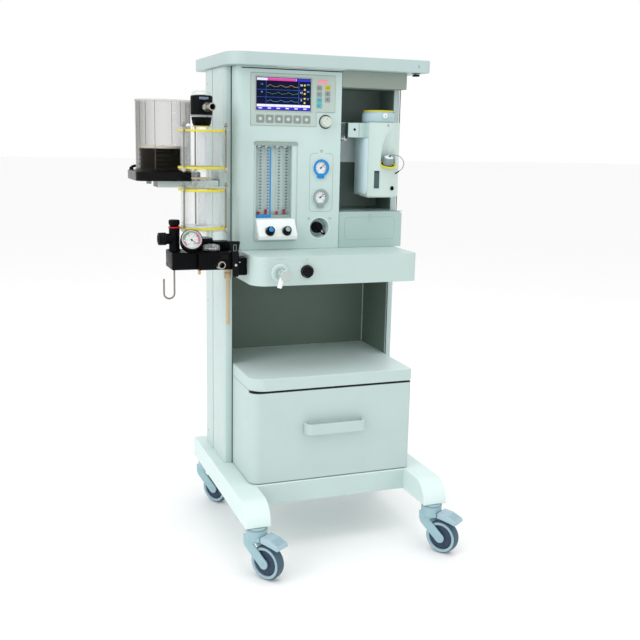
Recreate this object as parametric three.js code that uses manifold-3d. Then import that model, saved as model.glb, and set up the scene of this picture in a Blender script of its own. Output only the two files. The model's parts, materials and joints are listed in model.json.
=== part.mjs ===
// Veterinary anesthesia machine: a cabinet on casters with a gas panel, a vaporizer bay,
// a work surface, one drawer and a breathing circuit on the left.
// Millimetres, +Z up, the front faces -Y.

import * as THREE from 'three';
import { mergeVertices } from 'three/addons/utils/BufferGeometryUtils.js';
import Module from 'manifold-3d';

const wasm = await Module();
wasm.setup();

// ---------------------------------------------------------------- driving dimensions

const GAP = 0.3;
const WALL = 3;
const ARC = 3;

const base = { bottom: 148, top: 215, footIn: 240, footOut: 315, footFront: -360, footBack: 286, nose: 62 };
const column = { out: 284, wall: 26, front: -6, back: 231, radius: 21.5 };
const inner = column.out - column.wall;
const shelf = { x0: -296, x1: 334, y0: -101, y1: 325, bottom: 1423, top: 1460, corner: 55, rightCorner: 16 };
const panel = { front: -54, left: -262, right: 63.7, bottom: 894.3, top: shelf.bottom - GAP };
const bay = { left: 64.3, right: 277, front: -52, coverTop: 1005, headerBottom: 1376, back: 103 };
const desk = { half: 254, front: -217, back: 187, bottom: 810, top: 894, corner: 47, rightCorner: 14 };
const cabinet = { half: 257, front: -213, seam: -181, back: 187, bottom: 218, slab: 499, top: 536 };
const rear = { half: 257.5, front: 190.3, back: 226 };

const display = { left: -218, right: 41.5, step: -17.5, bottom: 1258, shoulder: 1300, top: 1404.5 };
const encoder = { x: 13, z: 1272, radius: 17 };
const flow = { left: -206.6, right: -73.4, bottom: 918.4, top: 1210.6, tubes: [-189, -166, -132, -109] };
const gauge = { x: 1, upper: 1137, lower: 1049, radius: 25.4, caseRadius: 21.5 };
const dish = { x: 0, z: 956, mouth: 31.5, floor: 26, depth: -28 };

const outlet = { x: -176, z: 847 };
const flush = { x: -96, z: 850, radius: 15.5 };

const vapor = { x: 201.5, left: 150, right: 253, back: 40, bottom: 1053, top: 1274 };
const dial = { x: 200, y: -18, radius: 50.5, height: 37 };
const filler = { origin: [206, -86, 1146], axis: [0, -0.34, 0.94] };

const circuit = { left: -470, middle: -396, right: -281.4, front: -150, proud: -165, back: -55, z0: 854, z1: 903 };
const canister = { x: -369, y: -80, ring: 66, glass: 60, bore: 20 };
const bellows = { x: -445, y: 90, radius: 72, trayTop: 1119, domeTop: 1325 };
const relief = { x: -455, y: -106 };

const caster = { x: 277, front: -339, rear: 246, trail: 42, wheel: 50, turn: THREE.MathUtils.degToRad(34) };

// ---------------------------------------------------------------- materials

const finish = (color, roughness, metalness = 0) =>
  new THREE.MeshStandardMaterial({ color, roughness, metalness, flatShading: true });

const shell = finish(0xc3d9d7, 0.5);
const shellLight = finish(0xdcf0ee, 0.5);
const columnPaint = finish(0xbcd2cd, 0.45, 0.1);
const linerGreen = finish(0x44564b, 0.7);
const bayDark = finish(0x334140, 0.7);
const bezel = finish(0xb8bfb2, 0.5);
const white = finish(0xeef4f4, 0.4);
const black = finish(0x161a1e, 0.35);
const steel = finish(0xb8bcc0, 0.3, 1);
const clear = finish(0xd6e0dc, 0.1);
const smoke = finish(0xcfc8b8, 0.1);
const yellow = finish(0xe1c31e, 0.4);
const casterGrey = finish(0xa0c2c7, 0.45);
const tyreGrey = finish(0x6e8d9e, 0.6);
const dialBlue = finish(0xb2cdd4, 0.5);
const maroon = finish(0x6e1a2c, 0.4);
const aluminium = finish(0x9fa4a8, 0.4, 1);

// ---------------------------------------------------------------- shape helpers

function roundedRect(x0, x1, y0, y1, radii) {
  const [r00, r10, r11, r01] = radii;
  const shape = new THREE.Shape();
  shape.moveTo(x0 + r00, y0);
  shape.lineTo(x1 - r10, y0);
  if (r10) shape.absarc(x1 - r10, y0 + r10, r10, -Math.PI / 2, 0, false);
  shape.lineTo(x1, y1 - r11);
  if (r11) shape.absarc(x1 - r11, y1 - r11, r11, 0, Math.PI / 2, false);
  shape.lineTo(x0 + r01, y1);
  if (r01) shape.absarc(x0 + r01, y1 - r01, r01, Math.PI / 2, Math.PI, false);
  shape.lineTo(x0, y0 + r00);
  if (r00) shape.absarc(x0 + r00, y0 + r00, r00, Math.PI, Math.PI * 1.5, false);
  return shape;
}

function polygon(points) {
  return new THREE.Shape(points.map(([x, y]) => new THREE.Vector2(x, y)));
}

function mirrored(shape) {
  const flip = points => points.map(p => new THREE.Vector2(-p.x, p.y)).reverse();
  const result = new THREE.Shape(flip(shape.getPoints(ARC)));
  result.holes = shape.holes.map(hole => new THREE.Path(flip(hole.getPoints(ARC))));
  return result;
}

function extrude(shape, depth) {
  return new THREE.ExtrudeGeometry(shape, { depth, bevelEnabled: false, curveSegments: ARC });
}

function alongZ(shape, z0, z1) {
  return extrude(shape, z1 - z0).translate(0, 0, z0);
}

function alongY(shape, y0, y1) {
  return extrude(shape, y1 - y0).rotateX(Math.PI / 2).translate(0, y1, 0);
}

function alongX(shape, x0, x1) {
  const yzToX = new THREE.Matrix4().makeBasis(
    new THREE.Vector3(0, 1, 0), new THREE.Vector3(0, 0, 1), new THREE.Vector3(1, 0, 0));
  return extrude(shape, x1 - x0).applyMatrix4(yzToX).translate(x0, 0, 0);
}

function box(x0, x1, y0, y1, z0, z1) {
  const geometry = new THREE.BoxGeometry(x1 - x0, y1 - y0, z1 - z0);
  return geometry.translate((x0 + x1) / 2, (y0 + y1) / 2, (z0 + z1) / 2);
}

function aim(geometry, origin, direction) {
  const axis = new THREE.Vector3(...direction).normalize();
  const turn = new THREE.Quaternion().setFromUnitVectors(new THREE.Vector3(0, 1, 0), axis);
  return geometry.applyQuaternion(turn).translate(...origin);
}

function rod(radius, start, end, segments = 20, endRadius = radius) {
  const from = new THREE.Vector3(...start);
  const along = new THREE.Vector3(...end).sub(from);
  const length = along.length();
  const geometry = new THREE.CylinderGeometry(endRadius, radius, length, segments);
  return aim(geometry.translate(0, length / 2, 0), start, along.toArray());
}

// A turned solid: profile points are [radius, distance along the axis].
function turned(profile, origin, direction, segments = 24) {
  const points = profile.map(([r, a]) => new THREE.Vector2(r, a));
  return aim(new THREE.LatheGeometry(points, segments), origin, direction);
}

function tube(curve, radius, steps) {
  const section = new THREE.Shape().absarc(0, 0, radius, 0, Math.PI * 2, false);
  return new THREE.ExtrudeGeometry(section, { steps, extrudePath: curve, curveSegments: 4 });
}

// ---------------------------------------------------------------- solid joins and cuts

function toSolid(geometry) {
  const bare = geometry.clone();
  bare.deleteAttribute('normal');
  bare.deleteAttribute('uv');
  const merged = mergeVertices(bare, 1e-4);
  const index = merged.index.array;
  const triVerts = [];
  for (let i = 0; i < index.length; i += 3) {
    const [a, b, c] = [index[i], index[i + 1], index[i + 2]];
    if (a !== b && b !== c && c !== a) triVerts.push(a, b, c);
  }
  const vertProperties = new Float32Array(merged.attributes.position.array);
  return new wasm.Manifold(new wasm.Mesh({
    numProp: 3,
    vertProperties,
    triVerts: new Uint32Array(triVerts),
  }));
}

function toGeometry(solid) {
  const mesh = solid.simplify(0.01).getMesh();
  const geometry = new THREE.BufferGeometry();
  geometry.setAttribute('position', new THREE.BufferAttribute(new Float32Array(mesh.vertProperties), 3));
  geometry.setIndex(Array.from(mesh.triVerts));
  return geometry;
}

function join(...pieces) {
  return toGeometry(pieces.map(toSolid).reduce((whole, piece) => whole.add(piece)));
}

function cut(blank, ...tools) {
  return toGeometry(tools.map(toSolid).reduce((whole, tool) => whole.subtract(tool), toSolid(blank)));
}

// ---------------------------------------------------------------- machine

const machine = new THREE.Group();

function add(name, geometry, material, parent = machine) {
  const mesh = new THREE.Mesh(geometry, material);
  mesh.name = name;
  parent.add(mesh);
  return mesh;
}

// ---------------------------------------------------------------- base and frame

function footShape() {
  const shape = new THREE.Shape();
  const heel = 15;
  shape.moveTo(base.footFront, base.bottom);
  shape.lineTo(base.footBack, base.bottom);
  shape.lineTo(base.footBack, base.top - heel);
  shape.absarc(base.footBack - heel, base.top - heel, heel, 0, Math.PI / 2, false);
  shape.lineTo(base.footFront + base.nose, base.top);
  shape.absarc(base.footFront + base.nose, base.top - base.nose, base.nose, Math.PI / 2, Math.PI, false);
  return shape;
}

function buildBase() {
  const beamFront = -216;
  const beamBack = 240;
  const floor = 6;
  const footing = footShape();
  const deck = cut(
    box(-base.footIn - 1, base.footIn + 1, beamFront, beamBack, base.bottom + 2, base.top),
    box(-232, 232, beamFront + 8, beamBack - 8, base.bottom, base.top - floor));
  add('base_frame', join(
    deck,
    alongX(footing, -base.footOut, -base.footIn),
    alongX(footing, base.footIn, base.footOut)), shellLight);
}

function columnShape() {
  const { out, front, back, radius } = column;
  const groove = { y0: 134, y1: 140, depth: 3 };
  const backRadius = 8;
  const shape = new THREE.Shape();
  shape.moveTo(inner, front);
  shape.lineTo(out - radius, front);
  shape.absarc(out - radius, front + radius, radius, -Math.PI / 2, 0, false);
  shape.lineTo(out, groove.y0);
  shape.lineTo(out - groove.depth, groove.y0);
  shape.lineTo(out - groove.depth, groove.y1);
  shape.lineTo(out, groove.y1);
  shape.absarc(out - backRadius, back - backRadius, backRadius, 0, Math.PI / 2, false);
  shape.lineTo(inner, back);
  const hollowOut = out - 2 * WALL;
  shape.holes.push(polygon([
    [inner + WALL, front + WALL],
    [inner + 8, front + WALL],
    [hollowOut, front + 15],
    [hollowOut, back - 9],
    [inner + WALL, back - WALL],
  ]));
  return shape;
}

function buildColumns() {
  const z0 = base.top + GAP;
  const z1 = shelf.bottom - GAP;
  add('column_right', alongZ(columnShape(), z0, z1), columnPaint);
  add('column_left', alongZ(mirrored(columnShape()), z0, z1), columnPaint);
}

function buildShelf() {
  const { x0, x1, y0, y1, bottom, top, corner, rightCorner } = shelf;
  const backCorner = 20;
  add('top_shelf', cut(
    alongZ(roundedRect(x0, x1, y0, y1, [corner, rightCorner, backCorner, backCorner]), bottom, top),
    box(-250, 250, -40, 215, bottom - 1, top - 5)), shell);
  const lamp = { x: 301, y: -64, pivot: shelf.bottom - 2.6 };
  add('lamp_switch', join(
    box(lamp.x - 7, lamp.x + 7, lamp.y - 11, lamp.y + 11, lamp.pivot - 7, lamp.pivot),
    rod(2, [lamp.x - 6, lamp.y, lamp.pivot], [lamp.x + 6, lamp.y, lamp.pivot], 10)), black);
}

function buildRearPanel() {
  const z0 = base.top + 0.5;
  const z1 = shelf.bottom - 0.5;
  const fittings = [];
  for (const x of [-150, -100, -50]) {
    fittings.push(rod(9, [x, rear.back - 1, 700], [x, rear.back + 8, 700], 12));
    fittings.push(rod(6, [x, rear.back, 700], [x, rear.back + 24, 700], 12));
  }
  const inlet = cut(
    box(60, 116, rear.back - 1, rear.back + 14, 684, 724),
    box(74, 102, rear.back + 4, rear.back + 15, 694, 714));
  const body = cut(
    box(-rear.half, rear.half, rear.front, rear.back, z0, z1),
    box(-rear.half + WALL, rear.half - WALL, rear.front + WALL, rear.back - WALL, z0 - 1, z1 - WALL));
  add('rear_panel', join(body, inlet, ...fittings), shell);
}

// ---------------------------------------------------------------- front panel

function displayShape(inset) {
  return polygon([
    [display.left + inset, display.bottom + inset],
    [display.step - inset, display.bottom + inset],
    [display.step - inset, display.shoulder + inset],
    [display.right - inset, display.shoulder + inset],
    [display.right - inset, display.top - inset],
    [display.left + inset, display.top - inset],
  ]);
}

function housingShape() {
  const radius = 20;
  const { front, left, right } = panel;
  const back = column.front - GAP;
  const shape = new THREE.Shape();
  shape.moveTo(left, back);
  shape.lineTo(left, front + radius);
  shape.absarc(left + radius, front + radius, radius, Math.PI, Math.PI * 1.5, false);
  shape.lineTo(right, front);
  shape.lineTo(right, back);
  shape.lineTo(right - WALL, back);
  shape.lineTo(right - WALL, front + WALL);
  shape.absarc(left + radius, front + radius, radius - WALL, Math.PI * 1.5, Math.PI, true);
  shape.lineTo(left + WALL, back);
  return shape;
}

function buildHousing() {
  const y = panel.front;
  const sheet = join(
    alongZ(housingShape(), panel.bottom, panel.top),
    rod(dish.mouth + 2, [dish.x, dish.depth + 3, dish.z], [dish.x, y + 1, dish.z], 28));
  const through = [y - 1, y + 5];
  const flowHole = roundedRect(flow.left - 0.4, flow.right + 0.4, flow.bottom - 0.4, flow.top + 0.4, [6, 6, 6, 6]);
  add('front_housing', cut(
    sheet,
    alongY(displayShape(5.5), ...through),
    alongY(flowHole, ...through),
    rod(22, [gauge.x, y - 1, gauge.upper], [gauge.x, y + 5, gauge.upper]),
    rod(22, [gauge.x, y - 1, gauge.lower], [gauge.x, y + 5, gauge.lower]),
    rod(3.5, [encoder.x, y - 1, encoder.z], [encoder.x, y + 5, encoder.z], 12),
    rod(dish.floor, [dish.x, dish.depth, dish.z], [dish.x, y - 0.5, dish.z], 28, dish.mouth)), shell);
}

function buildDisplay() {
  const y = panel.front - GAP;
  const module = join(
    alongY(displayShape(0), y - 2, y),
    alongY(displayShape(6), y - 1, y + 34));
  add('display_module', cut(module, box(-203, -35, y - 3, y - 1, 1301, 1394)), bezel);
  add('display_knob', join(
    rod(encoder.radius, [encoder.x, y - GAP, encoder.z], [encoder.x, y - 18, encoder.z], 24, encoder.radius - 2),
    rod(3, [encoder.x, y - 1, encoder.z], [encoder.x, y + 10, encoder.z], 10)), white);
}

function controlWedge() {
  return polygon([
    [panel.front, 992],
    [panel.front - 4, 990],
    [panel.front - 34, 938],
    [panel.front - 30, 923],
    [panel.front, 923],
  ]);
}

function buildFlowMeters() {
  const y = panel.front;
  const shapeOut = roundedRect(flow.left, flow.right, flow.bottom, flow.top, [6, 6, 6, 6]);
  const tubeY = y + 14;
  const floorZ = 1003;
  const windowTop = 1200;
  const tubes = flow.tubes.map(x => rod(7.5, [x, tubeY, floorZ - 6], [x, tubeY, windowTop + 3], 12));
  const bores = flow.tubes.map(x => rod(4.8, [x, tubeY, floorZ], [x, tubeY, flow.top + 1], 8));
  const frame = cut(
    alongY(shapeOut, y - 1.5, y + 44),
    box(flow.left + 5, flow.right - 17, y - 2, y + 26, floorZ - 2, windowTop));
  const block = alongX(controlWedge(), flow.left + 6, flow.right - 10);
  add('flow_meter_block', cut(join(frame, block, ...tubes), ...bores), white);

  const knobs = [['flow_knob_oxygen', -165], ['flow_knob_nitrous', -113]];
  const face = { y: y - 27.1, z: 950, normal: [0, -0.866, 0.5] };
  const lift = distance => face.normal.map(n => n * distance);
  for (const [name, x] of knobs) {
    const [, dy0, dz0] = lift(GAP + 0.1);
    const [, dy1, dz1] = lift(17);
    add(name, rod(11.5, [x, face.y + dy0, face.z + dz0], [x, face.y + dy1, face.z + dz1], 20, 10.5), black);
  }
  for (const [name, x] of [['float_oxygen', flow.tubes[0]], ['float_nitrous', flow.tubes[2]]]) {
    add(name, rod(3.2, [x, tubeY, floorZ + 0.5], [x, tubeY, floorZ + 13], 10, 4), maroon);
  }
}

function buildGauges() {
  const outward = [0, -1, 0];
  const profile = [
    [0, -25], [gauge.caseRadius, -25], [gauge.caseRadius, GAP], [gauge.radius, GAP], [gauge.radius, 5],
    [gauge.radius - 1.2, 6], [22, 6], [22, 1.5], [0, 1.5],
  ];
  for (const [name, z] of [['oxygen_gauge', gauge.upper], ['nitrous_gauge', gauge.lower]]) {
    add(name, turned(profile, [gauge.x, panel.front, z], outward, 20), white);
    add(`${name}_needle`, pointer([gauge.x, panel.front, z], outward, 15, -50, 2), black);
  }
}

// A needle with its hub, built on the axis and turned to its rest angle, in degrees.
function pointer(origin, direction, length, angle, height) {
  const needle = join(
    rod(2.6, [0, height, 0], [0, height + 1.8, 0], 10),
    alongY(polygon([[-1.1, -4], [1.1, -4], [0.4, length], [-0.4, length]]), height + 0.3, height + 1.3));
  return aim(needle.rotateY(THREE.MathUtils.degToRad(angle)), origin, direction);
}

function buildSwitch() {
  const y = dish.depth;
  const lever = box(-4.5, 4.5, -15, -1, -10, 27);
  lever.rotateY(THREE.MathUtils.degToRad(134)).translate(dish.x, y - 15, dish.z);
  add('switch_lever', join(
    rod(17.7, [dish.x, y - GAP, dish.z], [dish.x, y - 16.5, dish.z], 24, 16),
    lever), black);
}

// ---------------------------------------------------------------- vaporizer bay

function buildBay() {
  const { left, right, front, coverTop, headerBottom, back } = bay;
  const rearFace = column.front - 0.5;
  const liner = cut(
    box(left, inner - GAP, column.front + 0.5, back, coverTop + 0.5, headerBottom - GAP),
    box(left + WALL, inner - 1.8, column.front - 1, back - WALL, coverTop + WALL, headerBottom - WALL));
  const header = cut(
    box(left, right, front, rearFace, headerBottom - 1.5, panel.top),
    box(left + WALL, right - WALL, front + WALL, rearFace - WALL, headerBottom - 2, panel.top - WALL));
  const bridge = box(left, inner - GAP, rearFace - 1, column.front + 3, headerBottom - 1.5, headerBottom + 4);
  add('bay_liner', join(liner, header, bridge), bayDark);
  add('bay_cover', cut(
    alongY(roundedRect(left, right, panel.bottom, coverTop, [0, 0, 12, 0]), front, rearFace),
    box(left + WALL, right - WALL, front + WALL, rearFace + 1, panel.bottom + WALL, coverTop - 12)), shell);
}

function vaporizerShape() {
  const sagitta = 30;
  const half = (vapor.right - vapor.left) / 2;
  const radius = (half * half + sagitta * sagitta) / (2 * sagitta);
  const sideFront = -66;
  const centre = sideFront - sagitta + radius;
  const spread = Math.asin(half / radius);
  const shape = new THREE.Shape();
  shape.moveTo(vapor.left, vapor.back);
  shape.lineTo(vapor.left, sideFront);
  shape.absarc(vapor.x, centre, radius, Math.PI * 1.5 - spread, Math.PI * 1.5 + spread, false);
  shape.lineTo(vapor.right, -15);
  shape.lineTo(vapor.right - 7, -9);
  shape.lineTo(vapor.right - 7, vapor.back);
  return shape;
}

function alongFiller(distance) {
  return filler.origin.map((value, i) => value + filler.axis[i] * distance);
}

function buildVaporizer() {
  const body = alongZ(vaporizerShape(), vapor.bottom, vapor.top);
  add('vaporizer_body', cut(body, rod(25.5, alongFiller(0), alongFiller(130), 20)), shellLight);

  const capHeight = 27;
  add('filler_cap', rod(15.5, alongFiller(GAP), alongFiller(capHeight), 18, 15), dialBlue);
  const [capX, capY, capZ] = alongFiller(capHeight + 2);
  add('filler_tether', tube(new THREE.CatmullRomCurve3([
    new THREE.Vector3(capX, capY, capZ),
    new THREE.Vector3(capX + 12, capY - 4, capZ + 5),
    new THREE.Vector3(capX + 36, capY, capZ + 1),
    new THREE.Vector3(capX + 52, capY + 4, capZ - 17),
    new THREE.Vector3(capX + 48, capY + 6, capZ - 35),
    new THREE.Vector3(capX + 26, capY + 6, capZ - 51),
  ]), 1.2, 16), black);

  const { x, y, radius, height } = dial;
  const base0 = vapor.top + GAP;
  const knob = turned([
    [0, 0], [radius - 2.5, 0], [radius, 4], [radius, height - 12], [radius - 4.5, height - 6],
    [radius - 8, height], [0, height],
  ], [x, y, base0], [0, 0, 1], 28);
  const rim = y - radius;
  const buttonZ = base0 + 20;
  add('vaporizer_dial', cut(
    knob,
    rod(8, [x, rim - 2, buttonZ], [x, rim + 4, buttonZ], 18),
    rod(5.4, [x, rim, buttonZ], [x, rim + 14, buttonZ], 12)), dialBlue);
  add('dial_lock_button', join(
    rod(7.5, [x, rim - 4, buttonZ], [x, rim, buttonZ], 18),
    rod(5, [x, rim - 1, buttonZ], [x, rim + 9, buttonZ], 12)), white);

  const plateBack = bay.back - WALL - GAP;
  add('vaporizer_mount', join(
    box(106, vapor.left - GAP, -38, 20, 1228, 1272),
    box(110, 146, 18, plateBack - 4, 1232, 1268),
    box(84, 232, plateBack - 8, plateBack, 1150, 1275)), columnPaint);
}

// ---------------------------------------------------------------- work surface and cabinet

function buildDesk() {
  const { half, front, back, bottom, top, corner, rightCorner } = desk;
  const slab = alongZ(roundedRect(-half, half, front, back, [corner, rightCorner, 0, 0]), bottom, top);
  const hollow = roundedRect(-half + 6, half - 6, front + 12, back + 1, [corner - 7, rightCorner - 7, 0, 0]);
  const guard = cut(
    rod(18.5, [flush.x, front + 2, flush.z], [flush.x, front - 8, flush.z], 24),
    rod(flush.radius + 0.6, [flush.x, front, flush.z], [flush.x, front - 9, flush.z], 24));
  add('work_surface', cut(
    join(cut(slab, alongZ(hollow, bottom + 4, top - 5)), guard),
    rod(7.5, [outlet.x, front - 1, outlet.z], [outlet.x, front + 14, outlet.z], 14),
    rod(12.5, [flush.x, front - 1, flush.z], [flush.x, front + 14, flush.z], 16)), shell);

  const { x, z } = outlet;
  add('selector_lever', join(
    rod(27, [x, front - GAP, z], [x, front - 5, z], 24, 22),
    rod(7, [x, front + 16, z], [x, front - 6, z], 14),
    rod(13, [x, front - 4, z], [x, front - 46, z], 20),
    rod(15.5, [x, front - 45, z], [x, front - 53, z], 20),
    rod(7, [x - 1, front - 28, z - 2], [x - 11, front - 28, z - 38], 12)), steel);
  add('flush_button', join(
    rod(flush.radius, [flush.x, front - 6, flush.z], [flush.x, front - 14, flush.z], 24, flush.radius - 1.5),
    rod(12, [flush.x, front - 7, flush.z], [flush.x, front + 16, flush.z], 16)), black);
}

function buildCabinet() {
  const { half, front, seam, back, bottom, slab, top } = cabinet;
  const carcass = cut(
    box(-half, half, seam + 0.5, back, bottom, slab - GAP),
    box(-half + WALL, half - WALL, seam, back - WALL, bottom + WALL, slab - WALL));
  const runners = [-1, 1].map(side => {
    const out = side * (half - 1);
    const edge = side * 246;
    return box(Math.min(out, edge), Math.max(out, edge), seam + 12, back - 8, 340, 362);
  });
  add('cabinet_shell', join(carcass, ...runners), shell);

  const topCorners = [45, 12, 0, 0];
  add('cabinet_top', cut(
    alongZ(roundedRect(-half, half, front, back, topCorners), slab, top),
    alongZ(roundedRect(-half + 4, half - 4, front + 4, back + 1, [41, 8, 0, 0]), slab + WALL, top - WALL)), shell);

  const corners = [30, 14, 0, 0];
  const frontTop = slab - 4;
  add('drawer_front', cut(
    alongZ(roundedRect(-half, half, front, seam, corners), bottom, frontTop),
    alongZ(roundedRect(-half + WALL, half - WALL, front + WALL, seam + 1, [27, 11, 0, 0]),
      bottom + WALL, frontTop - WALL)), shell);
  const tray = { half: 245, bottom: 230, top: 470, back: 150 };
  add('drawer_box', cut(
    box(-tray.half, tray.half, seam + GAP, tray.back, tray.bottom, tray.top),
    box(-tray.half + WALL, tray.half - WALL, seam + GAP + WALL, tray.back - WALL, tray.bottom + WALL, tray.top + 1)),
  shellLight);
  buildHandle(front - GAP);
}

function buildHandle(face) {
  const reach = 32;
  const half = 96;
  const thick = 8;
  const bend = 20;
  const bow = new THREE.Shape();
  bow.moveTo(-half, face);
  bow.lineTo(-half, face - reach + bend);
  bow.absarc(-half + bend, face - reach + bend, bend, Math.PI, Math.PI * 1.5, false);
  bow.absarc(half - bend, face - reach + bend, bend, Math.PI * 1.5, Math.PI * 2, false);
  bow.lineTo(half, face);
  bow.lineTo(half - thick, face);
  bow.absarc(half - bend, face - reach + bend, bend - thick, 0, -Math.PI / 2, true);
  bow.absarc(-half + bend, face - reach + bend, bend - thick, Math.PI * 1.5, Math.PI, true);
  bow.lineTo(-half + thick, face);
  add('drawer_handle', alongZ(bow, 363, 396), shell);
}

// ---------------------------------------------------------------- gas module inside the upper housing

function buildGasModule() {
  const block = box(-190, 20, 40, 160, 905, 1010);
  const regulators = [-150, -85, -20].map(x => rod(24, [x, 100, 1008], [x, 100, 1070], 16, 20));
  add('gas_module', join(block, ...regulators), aluminium);
}

// ---------------------------------------------------------------- breathing circuit

function buildCircuitBlock() {
  const { left, middle, right, front, proud, back, z0, z1 } = circuit;
  const portZ = 872;
  const portX = -341;
  const reliefPort = { z: 938, end: -501 };
  const solid = join(
    box(left, middle + 1, front, back, z0, z1),
    box(middle, right, proud, back, z0, z1),
    rod(31, [canister.x, canister.y, z1 - 1], [canister.x, canister.y, 937], 18),
    rod(26, [-356, -138, z1 - 1], [-356, -138, 925], 18, 22),
    box(-338, -296, -104, -62, z1 - 1, 927),
    rod(15, [relief.x, relief.y, z1 - 1], [relief.x, relief.y, 970], 20),
    rod(17, [relief.x, relief.y, reliefPort.z], [reliefPort.end, relief.y, reliefPort.z], 20),
    rod(14, [portX, proud + 1, portZ], [portX, proud - 14, portZ], 16, 11),
    rod(11, [portX, proud - 13, portZ], [portX, proud - 36, portZ], 16),
    rod(4, [-387, -120, z0 + 1], [-387, -120, 836], 10),
    rod(10.5, [-300, relief.y, z0 + 1], [-300, relief.y, 818], 16),
    rod(5.5, [-300, relief.y, 819], [-300, relief.y, 683], 12));
  add('circuit_block', cut(
    solid,
    rod(11, [reliefPort.end - 1, relief.y, reliefPort.z], [reliefPort.end + 22, relief.y, reliefPort.z], 16),
    rod(7.5, [portX, proud - 37, portZ], [portX, proud - 12, portZ], 12)), black);

  add('clamp_block', box(right + GAP + 0.1, -desk.half - GAP, -150, -95, 834, 884), black);
  add('clamp_lever', alongY(polygon([
    [-304, 834], [-286, 834], [-288, 900], [-282, 935], [-315, 936], [-308, 907], [-305, 900],
  ]), proud - 13, proud - GAP), black);
  add('apl_knob', rod(16, [relief.x, relief.y, 970.4], [relief.x, relief.y, 992], 20, 15), black);

  const hook = new THREE.CurvePath();
  const hang = { x: relief.x - 1, y: relief.y, top: z0 - GAP, bend: 782, radius: 15 };
  hook.add(new THREE.LineCurve3(
    new THREE.Vector3(hang.x, hang.y, hang.top), new THREE.Vector3(hang.x, hang.y, hang.bend)));
  hook.add(hookBend(hang));
  hook.add(new THREE.LineCurve3(
    new THREE.Vector3(hang.x - 2 * hang.radius, hang.y, hang.bend),
    new THREE.Vector3(hang.x - 2 * hang.radius, hang.y, hang.bend + 40)));
  add('bag_hook', tube(hook, 2.6, 20), steel);
}

// The half circle under the bag hook's stem.
function hookBend({ x, y, bend, radius }) {
  const points = [];
  for (let i = 0; i <= 12; i += 1) {
    const angle = Math.PI * i / 12;
    points.push(new THREE.Vector3(x - radius + radius * Math.cos(angle), y, bend - radius * Math.sin(angle)));
  }
  return new THREE.CatmullRomCurve3(points);
}

function buildManometer() {
  const face = [-418, -163, 940];
  const direction = [-0.08, -0.87, 0.49];
  const profile = [
    [0, -26], [25, -26], [30, -18], [31, -2], [31, 3], [29.5, 4], [27.5, 4], [27.5, 0], [0, 0],
  ];
  add('manometer', join(
    turned(profile, face, direction, 20),
    rod(7, [-413, -143, circuit.z1 + GAP], [-413, -143, 925], 12)), black);
  add('manometer_needle', pointer(face, direction, 20, 30, 0.6), black);
}

function clampRods(z0, z1) {
  const reach = canister.ring + 4;
  return [-28, 92, 212].flatMap(degrees => {
    const angle = THREE.MathUtils.degToRad(degrees);
    const x = canister.x + reach * Math.cos(angle);
    const y = canister.y + reach * Math.sin(angle);
    return [
      rod(2.6, [x, y, z0], [x, y, z1], 6),
      rod(6, [x, y, z0 + 3], [x, y, z0 + 13], 8),
      rod(6, [x, y, z1 - 22], [x, y, z1 - 12], 8),
    ];
  });
}

function buildCanisters() {
  const { ring, glass, bore } = canister;
  const at = [canister.x, canister.y, 0];
  const up = [0, 0, 1];
  const lumen = glass - 4;
  const lower = [
    [bore, 937.4], [30, 937.4], [30, 958], [ring, 958], [ring, 968], [glass, 968], [glass, 1072], [ring, 1072],
    [ring, 1084], [31, 1084], [31, 1127.7], [bore, 1127.7], [bore, 1081], [lumen, 1076], [lumen, 964], [bore, 962],
    [bore, 937.4],
  ];
  const upper = [
    [bore, 1128], [ring, 1128], [ring, 1138], [glass, 1138], [glass, 1237], [ring, 1237], [ring, 1249],
    [bore, 1249], [bore, 1245], [lumen, 1241], [lumen, 1134], [bore, 1132], [bore, 1128],
  ];
  add('canister_lower', join(turned(lower, at, up, 20), ...clampRods(954, 1096)), clear);
  add('canister_upper', join(turned(upper, at, up, 20), ...clampRods(1124, 1261)), clear);

  const head = turned([
    [0, 1249.3], [24, 1249.3], [24, 1254], [27.5, 1258], [29.5, 1277], [32, 1278], [32, 1282], [31, 1284],
    [31, 1333], [29, 1335], [26, 1335], [26, 1344], [22, 1350], [0, 1350],
  ], at, up, 18);
  const port = distance => [canister.x + 0.2 * distance, canister.y - 0.98 * distance, 1303];
  add('valve_head', cut(
    join(
      head,
      rod(15, port(28), port(46), 16, 11),
      rod(11, port(45), port(72), 16)),
    rod(7.5, port(73), port(38), 12)), black);
}

function buildBellows() {
  const { x, y, radius, trayTop, domeTop } = bellows;
  add('bellows_tray', join(
    alongZ(roundedRect(-540, -350, -4, 182, [25, 25, 20, 20]), trayTop - 26, trayTop),
    box(-470, -column.out - 0.5, 55, 125, trayTop - 47, trayTop - 25)), black);

  const at = [x, y, 0];
  const up = [0, 0, 1];
  const domeIn = 78;
  const domeOut = 81;
  add('bellows_dome', turned([
    [0, domeTop - 4], [domeIn, domeTop - 4], [domeIn, trayTop + GAP], [domeOut, trayTop + GAP],
    [domeOut, domeTop - 6], [domeOut + 2, domeTop - 5], [domeOut + 2, domeTop], [0, domeTop],
  ], at, up, 28), smoke);

  const folds = 4;
  const discZ = 1185;
  const bottom = trayTop + GAP;
  const pitch = (discZ - GAP - bottom) / folds;
  const profile = [[0, bottom]];
  for (let i = 0; i < folds; i += 1) {
    profile.push([radius - 5, bottom + i * pitch], [radius, bottom + (i + 0.5) * pitch]);
  }
  profile.push([radius - 5, discZ - GAP], [0, discZ - GAP]);
  add('bellows', turned(profile, at, up, 20), black);
  add('bellows_disc', rod(radius + 2, [x, y, discZ], [x, y, discZ + 8], 28), white);
}

// ---------------------------------------------------------------- casters

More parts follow.
